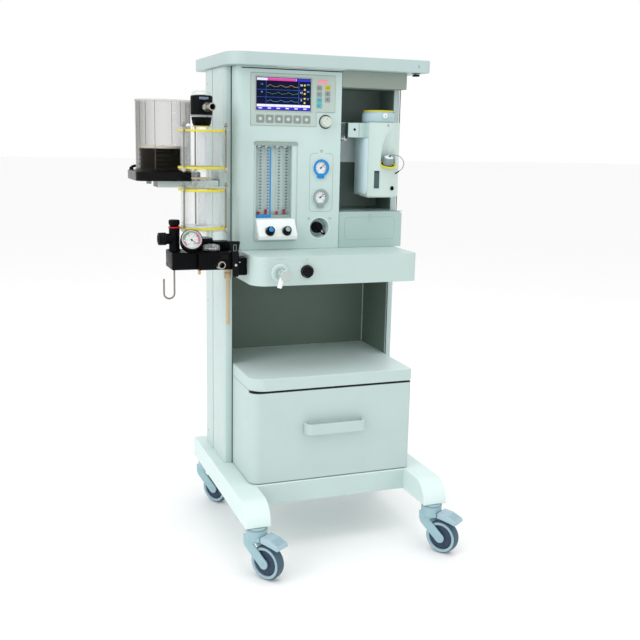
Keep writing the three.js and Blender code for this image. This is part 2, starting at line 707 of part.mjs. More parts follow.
function forkLeg() {
  const { trail, wheel } = caster;
  const eye = 14;
  const lean = Math.atan2(104 - wheel, trail);
  const shape = new THREE.Shape();
  shape.moveTo(28, 116);
  shape.lineTo(-trail + eye * Math.sin(lean), wheel - eye * Math.cos(lean));
  shape.absarc(-trail, wheel, eye, lean - Math.PI / 2, lean - Math.PI * 1.5, true);
  shape.lineTo(-10, 107);
  shape.lineTo(-20, 116);
  return shape;
}

function buildFork(name, parent) {
  const { trail, wheel } = caster;
  add(name, join(
    rod(31, [0, 0, 107], [0, 0, base.bottom - GAP], 24),
    alongX(forkLeg(), 17, 23),
    alongX(forkLeg(), -23, -17),
    rod(5, [-18, -trail, wheel], [18, -trail, wheel], 12)), casterGrey, parent);
}

function buildWheel(name, parent) {
  const profile = [
    [5.3, -15], [38, -15], [46, -16], [caster.wheel, -10], [caster.wheel, 10], [46, 16], [38, 15], [5.3, 15],
    [5.3, -15],
  ];
  const wheel = turned(profile, [0, 0, 0], [1, 0, 0], 24);
  add(name, wheel.translate(0, -caster.trail, caster.wheel), tyreGrey, parent);
}

function buildPedal(name, parent) {
  add(name, alongX(polygon([
    [-33, 112], [-33, 129], [-60, 125], [-94, 107], [-97, 99], [-90, 97], [-70, 103], [-40, 111],
  ]), -24, 24), casterGrey, parent);
}

function buildCasters() {
  const corners = [
    ['front_left', -caster.x, caster.front],
    ['front_right', caster.x, caster.front],
    ['rear_left', -caster.x, caster.rear],
    ['rear_right', caster.x, caster.rear],
  ];
  for (const [place, x, y] of corners) {
    const group = new THREE.Group();
    group.position.set(x, y, 0);
    group.rotation.z = caster.turn;
    machine.add(group);
    buildFork(`caster_fork_${place}`, group);
    buildWheel(`caster_wheel_${place}`, group);
    if (place.startsWith('front')) buildPedal(`brake_pedal_${place.slice(6)}`, group);
  }
}

// ---------------------------------------------------------------- assembly

buildBase();
buildColumns();
buildShelf();
buildRearPanel();
buildHousing();
buildDisplay();
buildFlowMeters();
buildGauges();
buildSwitch();
buildBay();
buildVaporizer();
buildDesk();
buildCabinet();
buildGasModule();
buildCircuitBlock();
buildManometer();
buildCanisters();
buildBellows();
buildCasters();

// The origin is the middle of the bounding box's base.
machine.updateMatrixWorld(true);
const bounds = new THREE.Box3().setFromObject(machine, true);
machine.position.set(-(bounds.min.x + bounds.max.x) / 2, -(bounds.min.y + bounds.max.y) / 2, -bounds.min.z);
machine.updateMatrixWorld(true);

export default machine;
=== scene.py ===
import json
from math import acos, atan, cos, degrees, inf, pi, radians, sin, sqrt, tan

import bmesh
import bpy
from mathutils import Matrix, Vector, geometry

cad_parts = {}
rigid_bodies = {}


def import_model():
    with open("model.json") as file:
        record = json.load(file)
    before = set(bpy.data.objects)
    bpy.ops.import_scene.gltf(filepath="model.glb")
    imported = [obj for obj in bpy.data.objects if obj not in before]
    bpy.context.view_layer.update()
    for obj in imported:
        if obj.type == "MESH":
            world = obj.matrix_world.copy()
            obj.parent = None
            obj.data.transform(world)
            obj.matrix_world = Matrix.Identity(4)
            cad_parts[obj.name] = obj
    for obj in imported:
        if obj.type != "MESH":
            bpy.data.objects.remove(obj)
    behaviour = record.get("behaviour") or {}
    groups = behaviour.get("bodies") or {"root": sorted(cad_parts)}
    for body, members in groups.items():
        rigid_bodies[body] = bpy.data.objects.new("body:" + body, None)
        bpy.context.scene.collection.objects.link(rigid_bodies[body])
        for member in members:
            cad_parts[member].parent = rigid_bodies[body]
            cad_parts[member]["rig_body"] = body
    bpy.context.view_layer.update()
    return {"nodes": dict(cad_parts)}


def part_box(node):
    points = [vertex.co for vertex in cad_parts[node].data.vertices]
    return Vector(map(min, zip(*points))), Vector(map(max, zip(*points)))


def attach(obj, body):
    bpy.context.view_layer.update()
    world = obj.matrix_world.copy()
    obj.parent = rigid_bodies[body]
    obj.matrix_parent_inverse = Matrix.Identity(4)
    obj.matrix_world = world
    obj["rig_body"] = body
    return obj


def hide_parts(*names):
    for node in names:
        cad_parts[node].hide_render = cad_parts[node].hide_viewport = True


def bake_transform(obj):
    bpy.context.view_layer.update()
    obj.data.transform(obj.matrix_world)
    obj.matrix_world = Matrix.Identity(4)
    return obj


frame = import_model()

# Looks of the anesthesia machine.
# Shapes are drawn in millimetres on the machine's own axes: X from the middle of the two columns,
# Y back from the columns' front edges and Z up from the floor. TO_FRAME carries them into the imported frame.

MM = 0.001
WELD = 0.01 * MM
CAD_WELD = 0.02 * MM
FLAT_DEGREES = 0.7
SHARP_DEGREES = 34
EDGE_DEGREES = 32
PRINT_DEPTH = 0.12
FOOT_BACK = 286.0
base_low, base_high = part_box("base_frame")
ORIGIN = Vector(((base_low.x + base_high.x) / 2, base_high.y - FOOT_BACK * MM, 0.0))
TO_FRAME = Matrix.Translation(ORIGIN) @ Matrix.Diagonal((MM, MM, MM, 1.0))

UP = (0, 0, 1)
FRONT = (0, -1, 0)
BACK = (0, 1, 0)
LEFT = (-1, 0, 0)
RIGHT = (1, 0, 0)


# ---------------------------------------------------------------- outlines in a plane

def arc(centre, radius, start, end, steps):
    """Points from start to end, in degrees, on a circle."""
    angles = [radians(start + (end - start) * i / steps) for i in range(steps + 1)]
    return [(centre[0] + radius * cos(a), centre[1] + radius * sin(a)) for a in angles]


def circle(radius, centre=(0, 0), steps=40):
    return arc(centre, radius, 0, 360, steps)[:-1]


def rounded(points, radius, steps=5):
    """A closed outline with each corner turned by its radius."""
    radii = radius if isinstance(radius, (list, tuple)) else [radius] * len(points)
    result = []
    for i, point in enumerate(points):
        here = Vector(point)
        back = (Vector(points[i - 1]) - here).normalized()
        ahead = (Vector(points[(i + 1) % len(points)]) - here).normalized()
        if radii[i] <= 0:
            result.append(tuple(here))
            continue
        half = acos(max(-1, min(1, back.dot(ahead)))) / 2
        reach = radii[i] / tan(half)
        middle = here + (back + ahead).normalized() * (radii[i] / sin(half))
        first = here + back * reach - middle
        last = here + ahead * reach - middle
        turn = first.angle_signed(last)
        for k in range(steps + 1):
            a = -turn * k / steps
            spoke = Vector((first.x * cos(a) - first.y * sin(a), first.x * sin(a) + first.y * cos(a)))
            result.append(tuple(middle + spoke))
    return result


def rectangle(x0, x1, y0, y1, radius=0, steps=5):
    return rounded([(x0, y0), (x1, y0), (x1, y1), (x0, y1)], radius, steps)


# ---------------------------------------------------------------- solids as (points, faces)

def merged(shapes):
    points, faces = [], []
    for part_points, part_faces in shapes:
        start = len(points)
        points.extend(part_points)
        faces.extend([tuple(start + i for i in face) for face in part_faces])
    return points, faces


def placed(shape, matrix):
    return [matrix @ Vector(p) for p in shape[0]], shape[1]


def moved(shape, x=0, y=0, z=0):
    return placed(shape, Matrix.Translation((x, y, z)))


def facing(origin, direction, across=None):
    """The matrix that carries a shape drawn on XY, thick along Z, to origin with Z along direction."""
    z = Vector(direction).normalized()
    if across is None:
        across = (-z.y, z.x, 0) if abs(z.z) < 0.9 else (1, 0, 0)
    x = Vector(across)
    x = (x - z * x.dot(z)).normalized()
    matrix = Matrix((x, z.cross(x), z)).transposed().to_4x4()
    matrix.translation = Vector(origin)
    return matrix


def at(shape, origin, direction=UP, across=None):
    return placed(shape, facing(origin, direction, across))


def inset(ring, amount):
    """The ring moved to its left by amount, which is inward for an outer ring and outward for a hole."""
    result = []
    count = len(ring)
    for i in range(count):
        here = Vector(ring[i])
        before = (here - Vector(ring[i - 1])).normalized()
        after = (Vector(ring[(i + 1) % count]) - here).normalized()
        n0 = Vector((-before.y, before.x))
        n1 = Vector((-after.y, after.x))
        scale = amount / max(0.35, 1 + n0.dot(n1))
        result.append((here.x + (n0.x + n1.x) * scale, here.y + (n0.y + n1.y) * scale))
    return result


def area_of(ring):
    return sum(a[0] * b[1] - b[0] * a[1] for a, b in zip(ring, ring[1:] + ring[:1])) / 2


def slab(outer, low, high, bevel=0.6, holes=(), steps=2):
    """A plate on XY between low and high, with its edges rounded by bevel."""
    rings = [outer if area_of(outer) > 0 else outer[::-1]]
    rings += [hole[::-1] if area_of(hole) > 0 else hole for hole in holes]
    bevel = min(bevel, (high - low) * 0.45)
    levels = []
    for i in range(steps + 1):
        a = pi / 2 * i / steps
        levels.append((bevel * (1 - sin(a)), low + bevel * (1 - cos(a))))
    levels += [(amount, high - (z - low)) for amount, z in reversed(levels)]
    if bevel <= 0:
        levels = [(0, low), (0, high)]
    points, faces = [], []
    for ring in rings:
        count = len(ring)
        start = len(points)
        for amount, z in levels:
            points.extend((x, y, z) for x, y in (inset(ring, amount) if amount else ring))
        for level in range(len(levels) - 1):
            lower = start + level * count
            for i in range(count):
                j = (i + 1) % count
                faces.append((lower + i, lower + j, lower + count + j, lower + count + i))
    for level, flip in ((0, True), (-1, False)):
        amount, z = levels[level]
        loops = [inset(ring, amount) if amount else ring for ring in rings]
        start = len(points)
        points.extend((x, y, z) for loop in loops for x, y in loop)
        flat = geometry.tessellate_polygon([[Vector((x, y, 0)) for x, y in loop] for loop in loops])
        for face in flat:
            a, b, c = (Vector(points[start + i][:2]) for i in face)
            upward = (b - a).cross(c - a) > 0
            order = face if upward != flip else face[::-1]
            faces.append(tuple(start + i for i in order))
    return points, faces


def block(x0, x1, y0, y1, z0, z1, bevel):
    return slab(rectangle(x0, x1, y0, y1), z0, z1, bevel)


def eased(profile, radius, steps=3):
    """An open profile with its inner corners turned by radius, or by less where a side is short."""
    result = [profile[0]]
    for before, here, after in zip(profile, profile[1:], profile[2:]):
        b = Vector(before) - Vector(here)
        a = Vector(after) - Vector(here)
        reach = min(radius, b.length * 0.45, a.length * 0.45)
        start = Vector(here) + b.normalized() * reach
        end = Vector(here) + a.normalized() * reach
        for k in range(steps + 1):
            t = k / steps
            point = start * (1 - t) ** 2 + Vector(here) * 2 * t * (1 - t) + end * t ** 2
            result.append(tuple(point))
    return result + [profile[-1]]


def lathe(profile, sides=48, ease=0.0, wave=None, ring=False):
    """A solid turned about Z from (radius, z) points, read upward on the outside."""
    if ease:
        profile = eased(profile, ease)
    if ring:
        profile = profile + [profile[0]]
    points, faces, rows = [], [], []
    for r, z in profile:
        if r < 1e-6:
            rows.append([len(points)] * sides)
            points.append((0, 0, z))
            continue
        rows.append(list(range(len(points), len(points) + sides)))
        for i in range(sides):
            a = 2 * pi * i / sides
            reach = r * wave(a, r, z) if wave else r
            points.append((reach * cos(a), reach * sin(a), z))
    for low, high in zip(rows, rows[1:]):
        for i in range(sides):
            j = (i + 1) % sides
            face = []
            for index in (low[i], low[j], high[j], high[i]):
                if index not in face:
                    face.append(index)
            if len(face) > 2:
                faces.append(tuple(face))
    return points, faces


def scallops(count, depth, beyond, low, high=inf):
    """A lathe wave: shallow grooves where the radius is beyond a value and z lies between two heights."""
    def wave(angle, radius, z):
        grooved = radius > beyond and low < z < high
        return 1 - depth * (1 + cos(count * angle)) if grooved else 1

    return wave


def disc(radius, low, high, bevel=0.5, sides=40):
    profile = [(0, low), (radius, low), (radius, high), (0, high)]
    return lathe(profile, sides, bevel)


def ring_shape(inner, outer, low, high, bevel=0.4, sides=48):
    profile = eased([(inner, (low + high) / 2), (inner, low), (outer, low), (outer, high), (inner, high),
                     (inner, (low + high) / 2)], bevel)
    return lathe(profile, sides)


def smooth_path(points, steps=8):
    """A Catmull-Rom line through the points."""
    line = [Vector(p) for p in points]
    line = [line[0] * 2 - line[1]] + line + [line[-1] * 2 - line[-2]]
    result = []
    for p0, p1, p2, p3 in zip(line, line[1:], line[2:], line[3:]):
        for k in range(steps):
            t = k / steps
            result.append(0.5 * (2 * p1 + (p2 - p0) * t + (2 * p0 - 5 * p1 + 4 * p2 - p3) * t * t
                                 + (3 * p1 - p0 - 3 * p2 + p3) * t ** 3))
    return result + [line[-2]]


def tube(path, radius, sides=12):
    """A round bar along a path."""
    path = [Vector(p) for p in path]
    count = len(path)
    points, faces = [], []
    side = None
    for i, here in enumerate(path):
        ahead = path[i + 1] if i < count - 1 else here
        behind = path[i - 1] if i > 0 else here
        along = (ahead - behind).normalized()
        if side is None:
            side = along.orthogonal().normalized()
        side = (side - along * side.dot(along)).normalized()
        other = along.cross(side)
        for k in range(sides):
            a = 2 * pi * k / sides
            points.append(here + side * (radius * cos(a)) + other * (radius * sin(a)))
    for i in range(count - 1):
        for k in range(sides):
            j = (k + 1) % sides
            faces.append((i * sides + k, i * sides + j, (i + 1) * sides + j, (i + 1) * sides + k))
    faces.append(tuple(reversed(range(sides))))
    faces.append(tuple(range((count - 1) * sides, count * sides)))
    return points, faces


def rod(start, end, radius, end_radius=None, bevel=0.6, sides=24):
    """A turned bar between two points."""
    length = (Vector(end) - Vector(start)).length
    tip = radius if end_radius is None else end_radius
    profile = [(0, 0), (radius, 0), (tip, length), (0, length)]
    return at(lathe(profile, sides, bevel), start, Vector(end) - Vector(start))


def screws(places, radius, height):
    """Domed screw heads with a driver recess, one at each (origin, direction)."""
    profile = [(0, -0.4), (radius, -0.4), (radius, height * 0.3), (radius * 0.8, height * 0.85),
               (radius * 0.42, height),
               (radius * 0.34, height * 0.35), (0, height * 0.3)]
    head = lathe(profile, 20, 0.25)
    return merged([at(head, origin, direction) for origin, direction in places])


def lettering(text, size, depth=0.25):
    """Digits or a plain sign as a thin plate on XY, centred on the origin."""
    curve = bpy.data.curves.new("digits", "FONT")
    curve.body = text
    curve.size = size
    curve.extrude = depth / 2
    curve.align_x = "CENTER"
    curve.align_y = "CENTER"
    curve.resolution_u = 3
    holder = bpy.data.objects.new("digits", curve)
    mesh = bpy.data.meshes.new_from_object(holder)
    points = [(v.co.x, v.co.y, v.co.z + depth / 2) for v in mesh.vertices]
    faces = [tuple(p.vertices) for p in mesh.polygons]
    bpy.data.objects.remove(holder)
    bpy.data.meshes.remove(mesh)
    bpy.data.curves.remove(curve)
    return points, faces


# ---------------------------------------------------------------- pieces on the frame

def shade(mesh, sharp):
    mesh.shade_smooth()
    mesh.set_sharp_from_angle(angle=radians(sharp))


def settle(name, mesh, material, body, replaces):
    mesh.materials.clear()
    mesh.materials.append(material)
    obj = bpy.data.objects.new(name, mesh)
    bpy.context.scene.collection.objects.link(obj)
    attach(obj, body)
    if replaces:
        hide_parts(*([replaces] if isinstance(replaces, str) else replaces))
    return obj


def piece(name, shapes, material, body="machine", replaces=()):
    """A shown piece from one or more solids."""
    points, faces = merged(shapes) if isinstance(shapes, list) else shapes
    mesh = bpy.data.meshes.new(name)
    mesh.from_pydata([TO_FRAME @ Vector(p) for p in points], [], faces)
    work = bmesh.new()
    work.from_mesh(mesh)
    bmesh.ops.remove_doubles(work, verts=work.verts, dist=WELD)
    bmesh.ops.recalc_face_normals(work, faces=work.faces)
    work.to_mesh(mesh)
    work.free()
    shade(mesh, SHARP_DEGREES)
    return settle(name, mesh, material, body, replaces)


def body_of(node):
    return frame["nodes"][node]["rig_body"]


def refined(node, material, bevel, steps=2):
    """The node's own solid with its faces merged and its edges rounded."""
    mesh = frame["nodes"][node].data.copy()
    work = bmesh.new()
    work.from_mesh(mesh)
    bmesh.ops.remove_doubles(work, verts=work.verts, dist=CAD_WELD)
    bmesh.ops.dissolve_limit(work, angle_limit=radians(FLAT_DEGREES), verts=work.verts, edges=work.edges)
    edges = [e for e in work.edges if e.is_convex and e.calc_face_angle(0) > radians(EDGE_DEGREES)]
    bmesh.ops.bevel(work, geom=edges, offset=bevel * MM, segments=steps, profile=0.5, affect="EDGES",
                    clamp_overlap=True)
    bmesh.ops.dissolve_degenerate(work, dist=WELD, edges=work.edges)
    long_faces = [f for f in work.faces if len(f.verts) > 4]
    bmesh.ops.triangulate(work, faces=long_faces, ngon_method="EAR_CLIP")
    work.to_mesh(mesh)
    work.free()
    shade(mesh, EDGE_DEGREES)
    shown = settle(node + "_finish", mesh, material, body_of(node), node)
    even_normals = shown.modifiers.new("even_normals", "WEIGHTED_NORMAL")
    even_normals.keep_sharp = True
    return shown


def paint_faces(obj, material, chosen):
    """Gives another material to the faces whose middle, in machine millimetres, is chosen."""
    obj.data.materials.append(material)
    index = len(obj.data.materials) - 1
    to_machine = TO_FRAME.inverted()
    for face in obj.data.polygons:
        if chosen(to_machine @ face.center, face.normal):
            face.material_index = index


# ---------------------------------------------------------------- materials

def tone(red, green, blue):
    """A display colour, 0 to 255, as the linear colour a shader takes."""
    shares = [c / 255 for c in (red, green, blue)]
    return (*[c / 12.92 if c <= 0.04045 else ((c + 0.055) / 1.055) ** 2.4 for c in shares], 1.0)


def scaled(colour, factor):
    return (*[min(1.0, c * factor) for c in colour[:3]], 1.0)


def node(tree, kind, **settings):
    made = tree.nodes.new(kind)
    for key, value in settings.items():
        setattr(made, key, value)
    return made


def new_material(name):
    material = bpy.data.materials.new(name)
    material.use_nodes = True
    tree = material.node_tree
    return material, tree, tree.nodes["Principled BSDF"]


def coordinates(tree, stretch=(1, 1, 1)):
    """Places on the object in metres, squeezed along chosen axes."""
    source = node(tree, "ShaderNodeTexCoord")
    mapping = node(tree, "ShaderNodeMapping")
    mapping.inputs["Scale"].default_value = stretch
    tree.links.new(source.outputs["Object"], mapping.inputs["Vector"])
    return mapping.outputs["Vector"]


def noise_at(tree, where, size_mm, detail=3.0, rough=0.55):
    texture = node(tree, "ShaderNodeTexNoise")
    texture.inputs["Scale"].default_value = 1000 / size_mm
    texture.inputs["Detail"].default_value = detail
    texture.inputs["Roughness"].default_value = rough
    tree.links.new(where, texture.inputs["Vector"])
    return texture.outputs["Fac"]


def ramp(tree, value, stops):
    """Colours over a value; stops are (position, colour)."""
    made = node(tree, "ShaderNodeValToRGB")
    elements = made.color_ramp.elements
    while len(elements) < len(stops):
        elements.new(0.5)
    for element, (position, colour) in zip(elements, stops):
        element.position = position
        element.color = colour
    tree.links.new(value, made.inputs["Fac"])
    return made.outputs["Color"]


def spread(tree, value, low, high, start=0.3, end=0.7):
    made = node(tree, "ShaderNodeMapRange")
    made.inputs["From Min"].default_value = start
    made.inputs["From Max"].default_value = end
    made.inputs["To Min"].default_value = low
    made.inputs["To Max"].default_value = high
    tree.links.new(value, made.inputs["Value"])
    return made.outputs["Result"]


def mixed(tree, share, first, second):
    made = node(tree, "ShaderNodeMix", data_type="RGBA")
    for socket, value in ((made.inputs["Factor"], share), (made.inputs["A"], first),
                          (made.inputs["B"], second)):
        if isinstance(value, (float, int, tuple)):
            socket.default_value = value
        else:
            tree.links.new(value, socket)
    return [s for s in made.outputs if s.type == "RGBA"][0]


def bumped(tree, shader, height, strength, depth_mm):
    bump = node(tree, "ShaderNodeBump")
    bump.inputs["Strength"].default_value = strength
    bump.inputs["Distance"].default_value = depth_mm * MM
    tree.links.new(height, bump.inputs["Height"])
    tree.links.new(bump.outputs["Normal"], shader.inputs["Normal"])


def worn_edges(tree, colour, worn, amount):
    """Paint rubbed lighter where the surface turns sharply outward."""
    shape = node(tree, "ShaderNodeNewGeometry")
    edge = spread(tree, shape.outputs["Pointiness"], 0.0, amount, 0.52, 0.62)
    return mixed(tree, edge, colour, worn)


def coated(name, colour, rough=0.42, mottle=0.05, grain=(0.9, 0.10), strength=0.25, wear=0.25, coat=0.0,
           stretch=(1, 1, 1), metal=0.0, gleam=0.5):
    """Powder coat, moulded plastic, rubber or bare metal: grain is (size, depth) in mm."""
    material, tree, shader = new_material(name)
    where = coordinates(tree, stretch)
    clouds = noise_at(tree, where, 140, 4)
    specks = noise_at(tree, where, grain[0], 2)
    base = ramp(tree, clouds, [(0.3, scaled(colour, 1 - mottle)), (0.7, scaled(colour, 1 + mottle))])
    fleck = ramp(tree, specks, [(0.25, scaled(colour, 0.9)), (0.75, scaled(colour, 1.07))])
    base = mixed(tree, 0.35, base, fleck)
    if wear:
        base = worn_edges(tree, base, scaled(colour, 1.35), wear)
    tree.links.new(base, shader.inputs["Base Color"])
    smear = noise_at(tree, where, 34, 5, 0.65)
    tree.links.new(spread(tree, smear, rough - 0.07, rough + 0.09), shader.inputs["Roughness"])
    shader.inputs["Metallic"].default_value = metal
    shader.inputs["Specular IOR Level"].default_value = gleam
    shader.inputs["Coat Weight"].default_value = coat
    shader.inputs["Coat Roughness"].default_value = 0.12
    bumped(tree, shader, specks, strength, grain[1])
    return material


def brushed(name, colour, rough=0.28, stretch=(1, 1, 14), wear=0.1):
    """Bare metal with fine polishing lines across the stretched axis."""
    return coated(name, colour, rough, 0.08, (0.8, 0.05), 0.3, wear, stretch=stretch, metal=1.0)


def see_through(name, colour, clear=0.14, edge=0.62, rough=0.06, streaks=(1, 1, 0.12), gleam=0.5):
    """Clear moulding: nearly open face on, denser toward its rims, with faint draw lines."""
    material, tree, shader = new_material(name)
    where = coordinates(tree, streaks)
    lines = noise_at(tree, where, 5, 3)
    haze = noise_at(tree, where, 60, 4)
    tint = ramp(tree, haze, [(0.3, scaled(colour, 0.93)), (0.7, scaled(colour, 1.05))])
    tree.links.new(tint, shader.inputs["Base Color"])
    rim = node(tree, "ShaderNodeLayerWeight")
    rim.inputs["Blend"].default_value = 0.32
    dense = spread(tree, rim.outputs["Facing"], clear, edge, 0.0, 0.95)
    tree.links.new(dense, shader.inputs["Alpha"])
    tree.links.new(spread(tree, lines, rough, rough + 0.08), shader.inputs["Roughness"])
    shader.inputs["IOR"].default_value = 1.49
    shader.inputs["Specular IOR Level"].default_value = gleam
    shader.inputs["Coat Weight"].default_value = gleam
    shader.inputs["Coat Roughness"].default_value = 0.04
    bumped(tree, shader, lines, 0.12, 0.08)
    return material


def lit(name, colour, strength=0.7, grain_mm=0.5):
    """A glowing display colour with the fine grid of its dots."""
    material, tree, shader = new_material(name)
    where = coordinates(tree)
    cells = node(tree, "ShaderNodeTexVoronoi")
    cells.inputs["Scale"].default_value = 1000 / grain_mm
    tree.links.new(where, cells.inputs["Vector"])
    glow = ramp(tree, cells.outputs["Distance"],
                [(0.0, scaled(colour, 1.1)), (1.0, scaled(colour, 0.75))])
    tree.links.new(glow, shader.inputs["Base Color"])
    tree.links.new(glow, shader.inputs["Emission Color"])
    shader.inputs["Emission Strength"].default_value = strength
    shader.inputs["Specular IOR Level"].default_value = 0.08
    shader.inputs["Roughness"].default_value = 0.18
    return material


# Copies of one pale paint, each set lighter or darker for its part to match the light and shade it gets, so
# they are partly painted light and shade.
PAINT = coated("paint_panel", tone(188, 209, 206), 0.44, 0.035)
PAINT_LIGHT = coated("paint_light", tone(210, 228, 226), 0.44, 0.035)
PAINT_DESK = coated("paint_desk", tone(182, 202, 198), 0.44, 0.035)
PAINT_COVER = coated("paint_cover", tone(164, 188, 184), 0.44, 0.035)
PAINT_COLUMN = coated("paint_column", tone(186, 204, 201), 0.40, 0.04)
PAINT_SHELF = coated("paint_shelf", tone(172, 192, 190), 0.46, 0.04)
PAINT_DRAWER = coated("paint_drawer", tone(180, 199, 196), 0.46, 0.04)
PAINT_BACK = coated("paint_back", tone(176, 192, 187), 0.5, 0.05)
RECESS_DARK = coated("recess_dark", tone(96, 114, 103), 0.55, 0.07, wear=0.1)
LINER_BAY = coated("liner_bay", tone(104, 122, 115), 0.5, 0.08, wear=0.15)
SEAM = coated("seam_shadow", tone(40, 48, 47), 0.7, 0.1, wear=0.0)
OVERLAY = coated("display_overlay", tone(174, 191, 184), 0.38, 0.03, (0.4, 0.04))
BEZEL_GREY = coated("display_bezel", tone(160, 174, 168), 0.4, 0.04, (0.4, 0.05))
WHITE = coated("white_plastic", tone(232, 238, 238), 0.34, 0.025, (0.6, 0.05), coat=0.15)
PALE = coated("pale_plastic", tone(205, 214, 212), 0.38, 0.03, (0.6, 0.05))
MID_GREY = coated("grey_plastic", tone(136, 148, 147), 0.42, 0.04, (0.6, 0.05))
BLACK = coated("black_plastic", tone(9, 10, 12), 0.34, 0.12, (0.5, 0.06), wear=0.3, gleam=0.06)
BLACK_GLOSS = coated("black_gloss", tone(8, 9, 11), 0.16, 0.12, (0.5, 0.03), wear=0.3, gleam=0.13)
RUBBER = coated("black_rubber", tone(22, 24, 27), 0.62, 0.15, (0.7, 0.12), 0.4, 0.15, gleam=0.15)
STEEL = brushed("steel_rod", tone(190, 190, 190), 0.22)
ROD_STEEL = brushed("rod_steel", tone(142, 137, 128), 0.3)
ALUMINIUM = brushed("aluminium", tone(188, 192, 196), 0.34, (1, 10, 1))
BRASS = brushed("brass", tone(206, 178, 110), 0.26)
BRONZE = coated("tan_fitting", tone(188, 172, 140), 0.36, 0.08, (0.5, 0.05), metal=0.35)
TAN = coated("tan_plastic", tone(190, 172, 138), 0.45, 0.06, (0.6, 0.06))
YELLOW = coated("yellow_seal", tone(214, 200, 40), 0.42, 0.06, (0.6, 0.06), wear=0.0, gleam=0.3)
CODE_BLUE = coated("code_blue", tone(28, 132, 200), 0.36, 0.05, (0.4, 0.03), gleam=0.25)
CODE_GREY = coated("code_grey", tone(140, 160, 157), 0.38, 0.05, (0.4, 0.03), gleam=0.25)
TEAL = coated("teal_key", tone(88, 168, 176), 0.4, 0.05, (0.4, 0.03))
AMBER = coated("yellow_key", tone(196, 178, 44), 0.4, 0.05, (0.4, 0.03))
KEY_GREEN = coated("soft_key", tone(128, 142, 139), 0.42, 0.04, (0.4, 0.03))
PINK = lit("alarm_lens", tone(230, 150, 158), 0.25, 0.8)
MAROON = coated("float_maroon", tone(150, 10, 52), 0.3, 0.06, (0.4, 0.03), gleam=0.2)
RED = coated("red_mark", tone(206, 16, 52), 0.4, 0.05, (0.4, 0.03), gleam=0.2)
GREEN = coated("green_mark", tone(86, 150, 84), 0.4, 0.05, (0.4, 0.03))
ROSE = coated("rose_mark", tone(206, 70, 110), 0.4, 0.05, (0.4, 0.03), gleam=0.2)
BEIGE = coated("beige_mark", tone(214, 204, 176), 0.4, 0.05, (0.4, 0.03))
INK = coated("dark_ink", tone(34, 38, 42), 0.5, 0.05, (0.4, 0.03), wear=0.0)
DIAL_BLUE = coated("dial_blue", tone(176, 202, 209), 0.4, 0.04, (0.6, 0.06))
# Set lighter than the shell so the vaporizer's side, standing in the bay's shade, comes out brighter: painted
# light.
VAPOR_SIDE = coated("vaporizer_side", tone(220, 245, 255), 0.38, 0.04)
VAPOR_WHITE = coated("vaporizer_shell", tone(190, 208, 203), 0.36, 0.03, (0.6, 0.05))
CAP_BLUE = coated("cap_blue", tone(128, 148, 158), 0.4, 0.05)
CASTER = coated("caster_grey", tone(150, 182, 190), 0.4, 0.05, (0.8, 0.08))
CASTER_RIM = coated("caster_rim", tone(150, 178, 187), 0.4, 0.05, (0.8, 0.08))
HUB = coated("caster_hub", tone(46, 62, 84), 0.42, 0.08, (0.8, 0.08), gleam=0.3)
TYRE = coated("caster_tread", tone(70, 92, 108), 0.55, 0.08, (0.9, 0.12), 0.4, 0.1, gleam=0.3)
PEDAL = coated("pedal_top", tone(158, 184, 194), 0.38, 0.04, (0.8, 0.08))
CLEAR = see_through("clear_canister", tone(214, 222, 222), 0.045, 0.55)
CLEAR_TUBE = see_through("clear_tube", tone(234, 238, 248), 0.015, 0.12, streaks=(1, 1, 1), gleam=0.2)
# The scale plate glows so the flow window stays bright inside the frame's shade: painted light.
SCALE_PAINTED_GLOW = lit("scale_painted_glow", tone(230, 234, 246), 0.77, 0.7)
CREAM = coated("cream_plastic", tone(196, 206, 196), 0.36, 0.03, (0.6, 0.05))
PORT_METAL = brushed("port_metal", tone(172, 168, 160), 0.22, (1, 6, 1), 0.05)
SMOKE = see_through("smoke_dome", tone(52, 48, 36), 0.08, 0.5, gleam=0.2)
# Frosted white for the canisters' centre tubes; the whiteness also paints the bright highlight streak down
# each canister.
FROSTED_HIGHLIGHT = see_through("frosted_tube_highlight", tone(240, 244, 248), 0.28, 0.75)
LENS = see_through("dial_lens", tone(235, 240, 244), 0.015, 0.2, 0.03, gleam=0.3)
SCREEN_NAVY = lit("screen_navy", tone(8, 12, 44), 0.4)
SCREEN_DEEP = lit("screen_deep", tone(50, 44, 178), 0.6)
SCREEN_SKY = lit("screen_sky", tone(206, 204, 240), 0.6)
SCREEN_MAGENTA = lit("screen_magenta", tone(196, 60, 150), 0.7)
SCREEN_WHITE = lit("screen_white", tone(225, 232, 238), 0.8)
SCREEN_YELLOW = lit("screen_yellow", tone(206, 190, 96), 0.5)
SCREEN_GREEN = lit("screen_green", tone(84, 170, 110), 0.5)
SCREEN_CYAN = lit("screen_cyan", tone(90, 176, 226), 0.6)
SCREEN_BLUE = lit("screen_blue", tone(64, 110, 200), 0.7)
HOOD_GREY = coated("flow_hood", tone(140, 158, 148), 0.44, 0.05)
PAINT_HEADER = coated("paint_header", tone(138, 150, 141), 0.44, 0.05)
# Near-white, so the back plate in the bay's shade comes out brighter: painted light.
PLATE_PAINTED_LIGHT = coated("plate_painted_light", tone(232, 246, 250), 0.42, 0.05)
SIGHT = coated("sight_glass", tone(62, 84, 88), 0.12, 0.3, (6, 0.02), wear=0.0, gleam=0.4)
WIRE = coated("tether_wire", tone(120, 124, 128), 0.35, 0.15, (1.2, 0.1), 0.5, 0.0, stretch=(1, 1, 4))
SATIN = coated("satin_metal", tone(184, 196, 190), 0.28, 0.05, (0.6, 0.04), wear=0.1, metal=0.6)
LAMP_LENS = coated("lamp_lens", tone(236, 240, 238), 0.3, 0.03, (2.4, 0.2), 0.5, 0.0, coat=0.5)
LABEL_BLUE = coated("label_blue", tone(96, 110, 136), 0.4, 0.2, (1.4, 0.05))
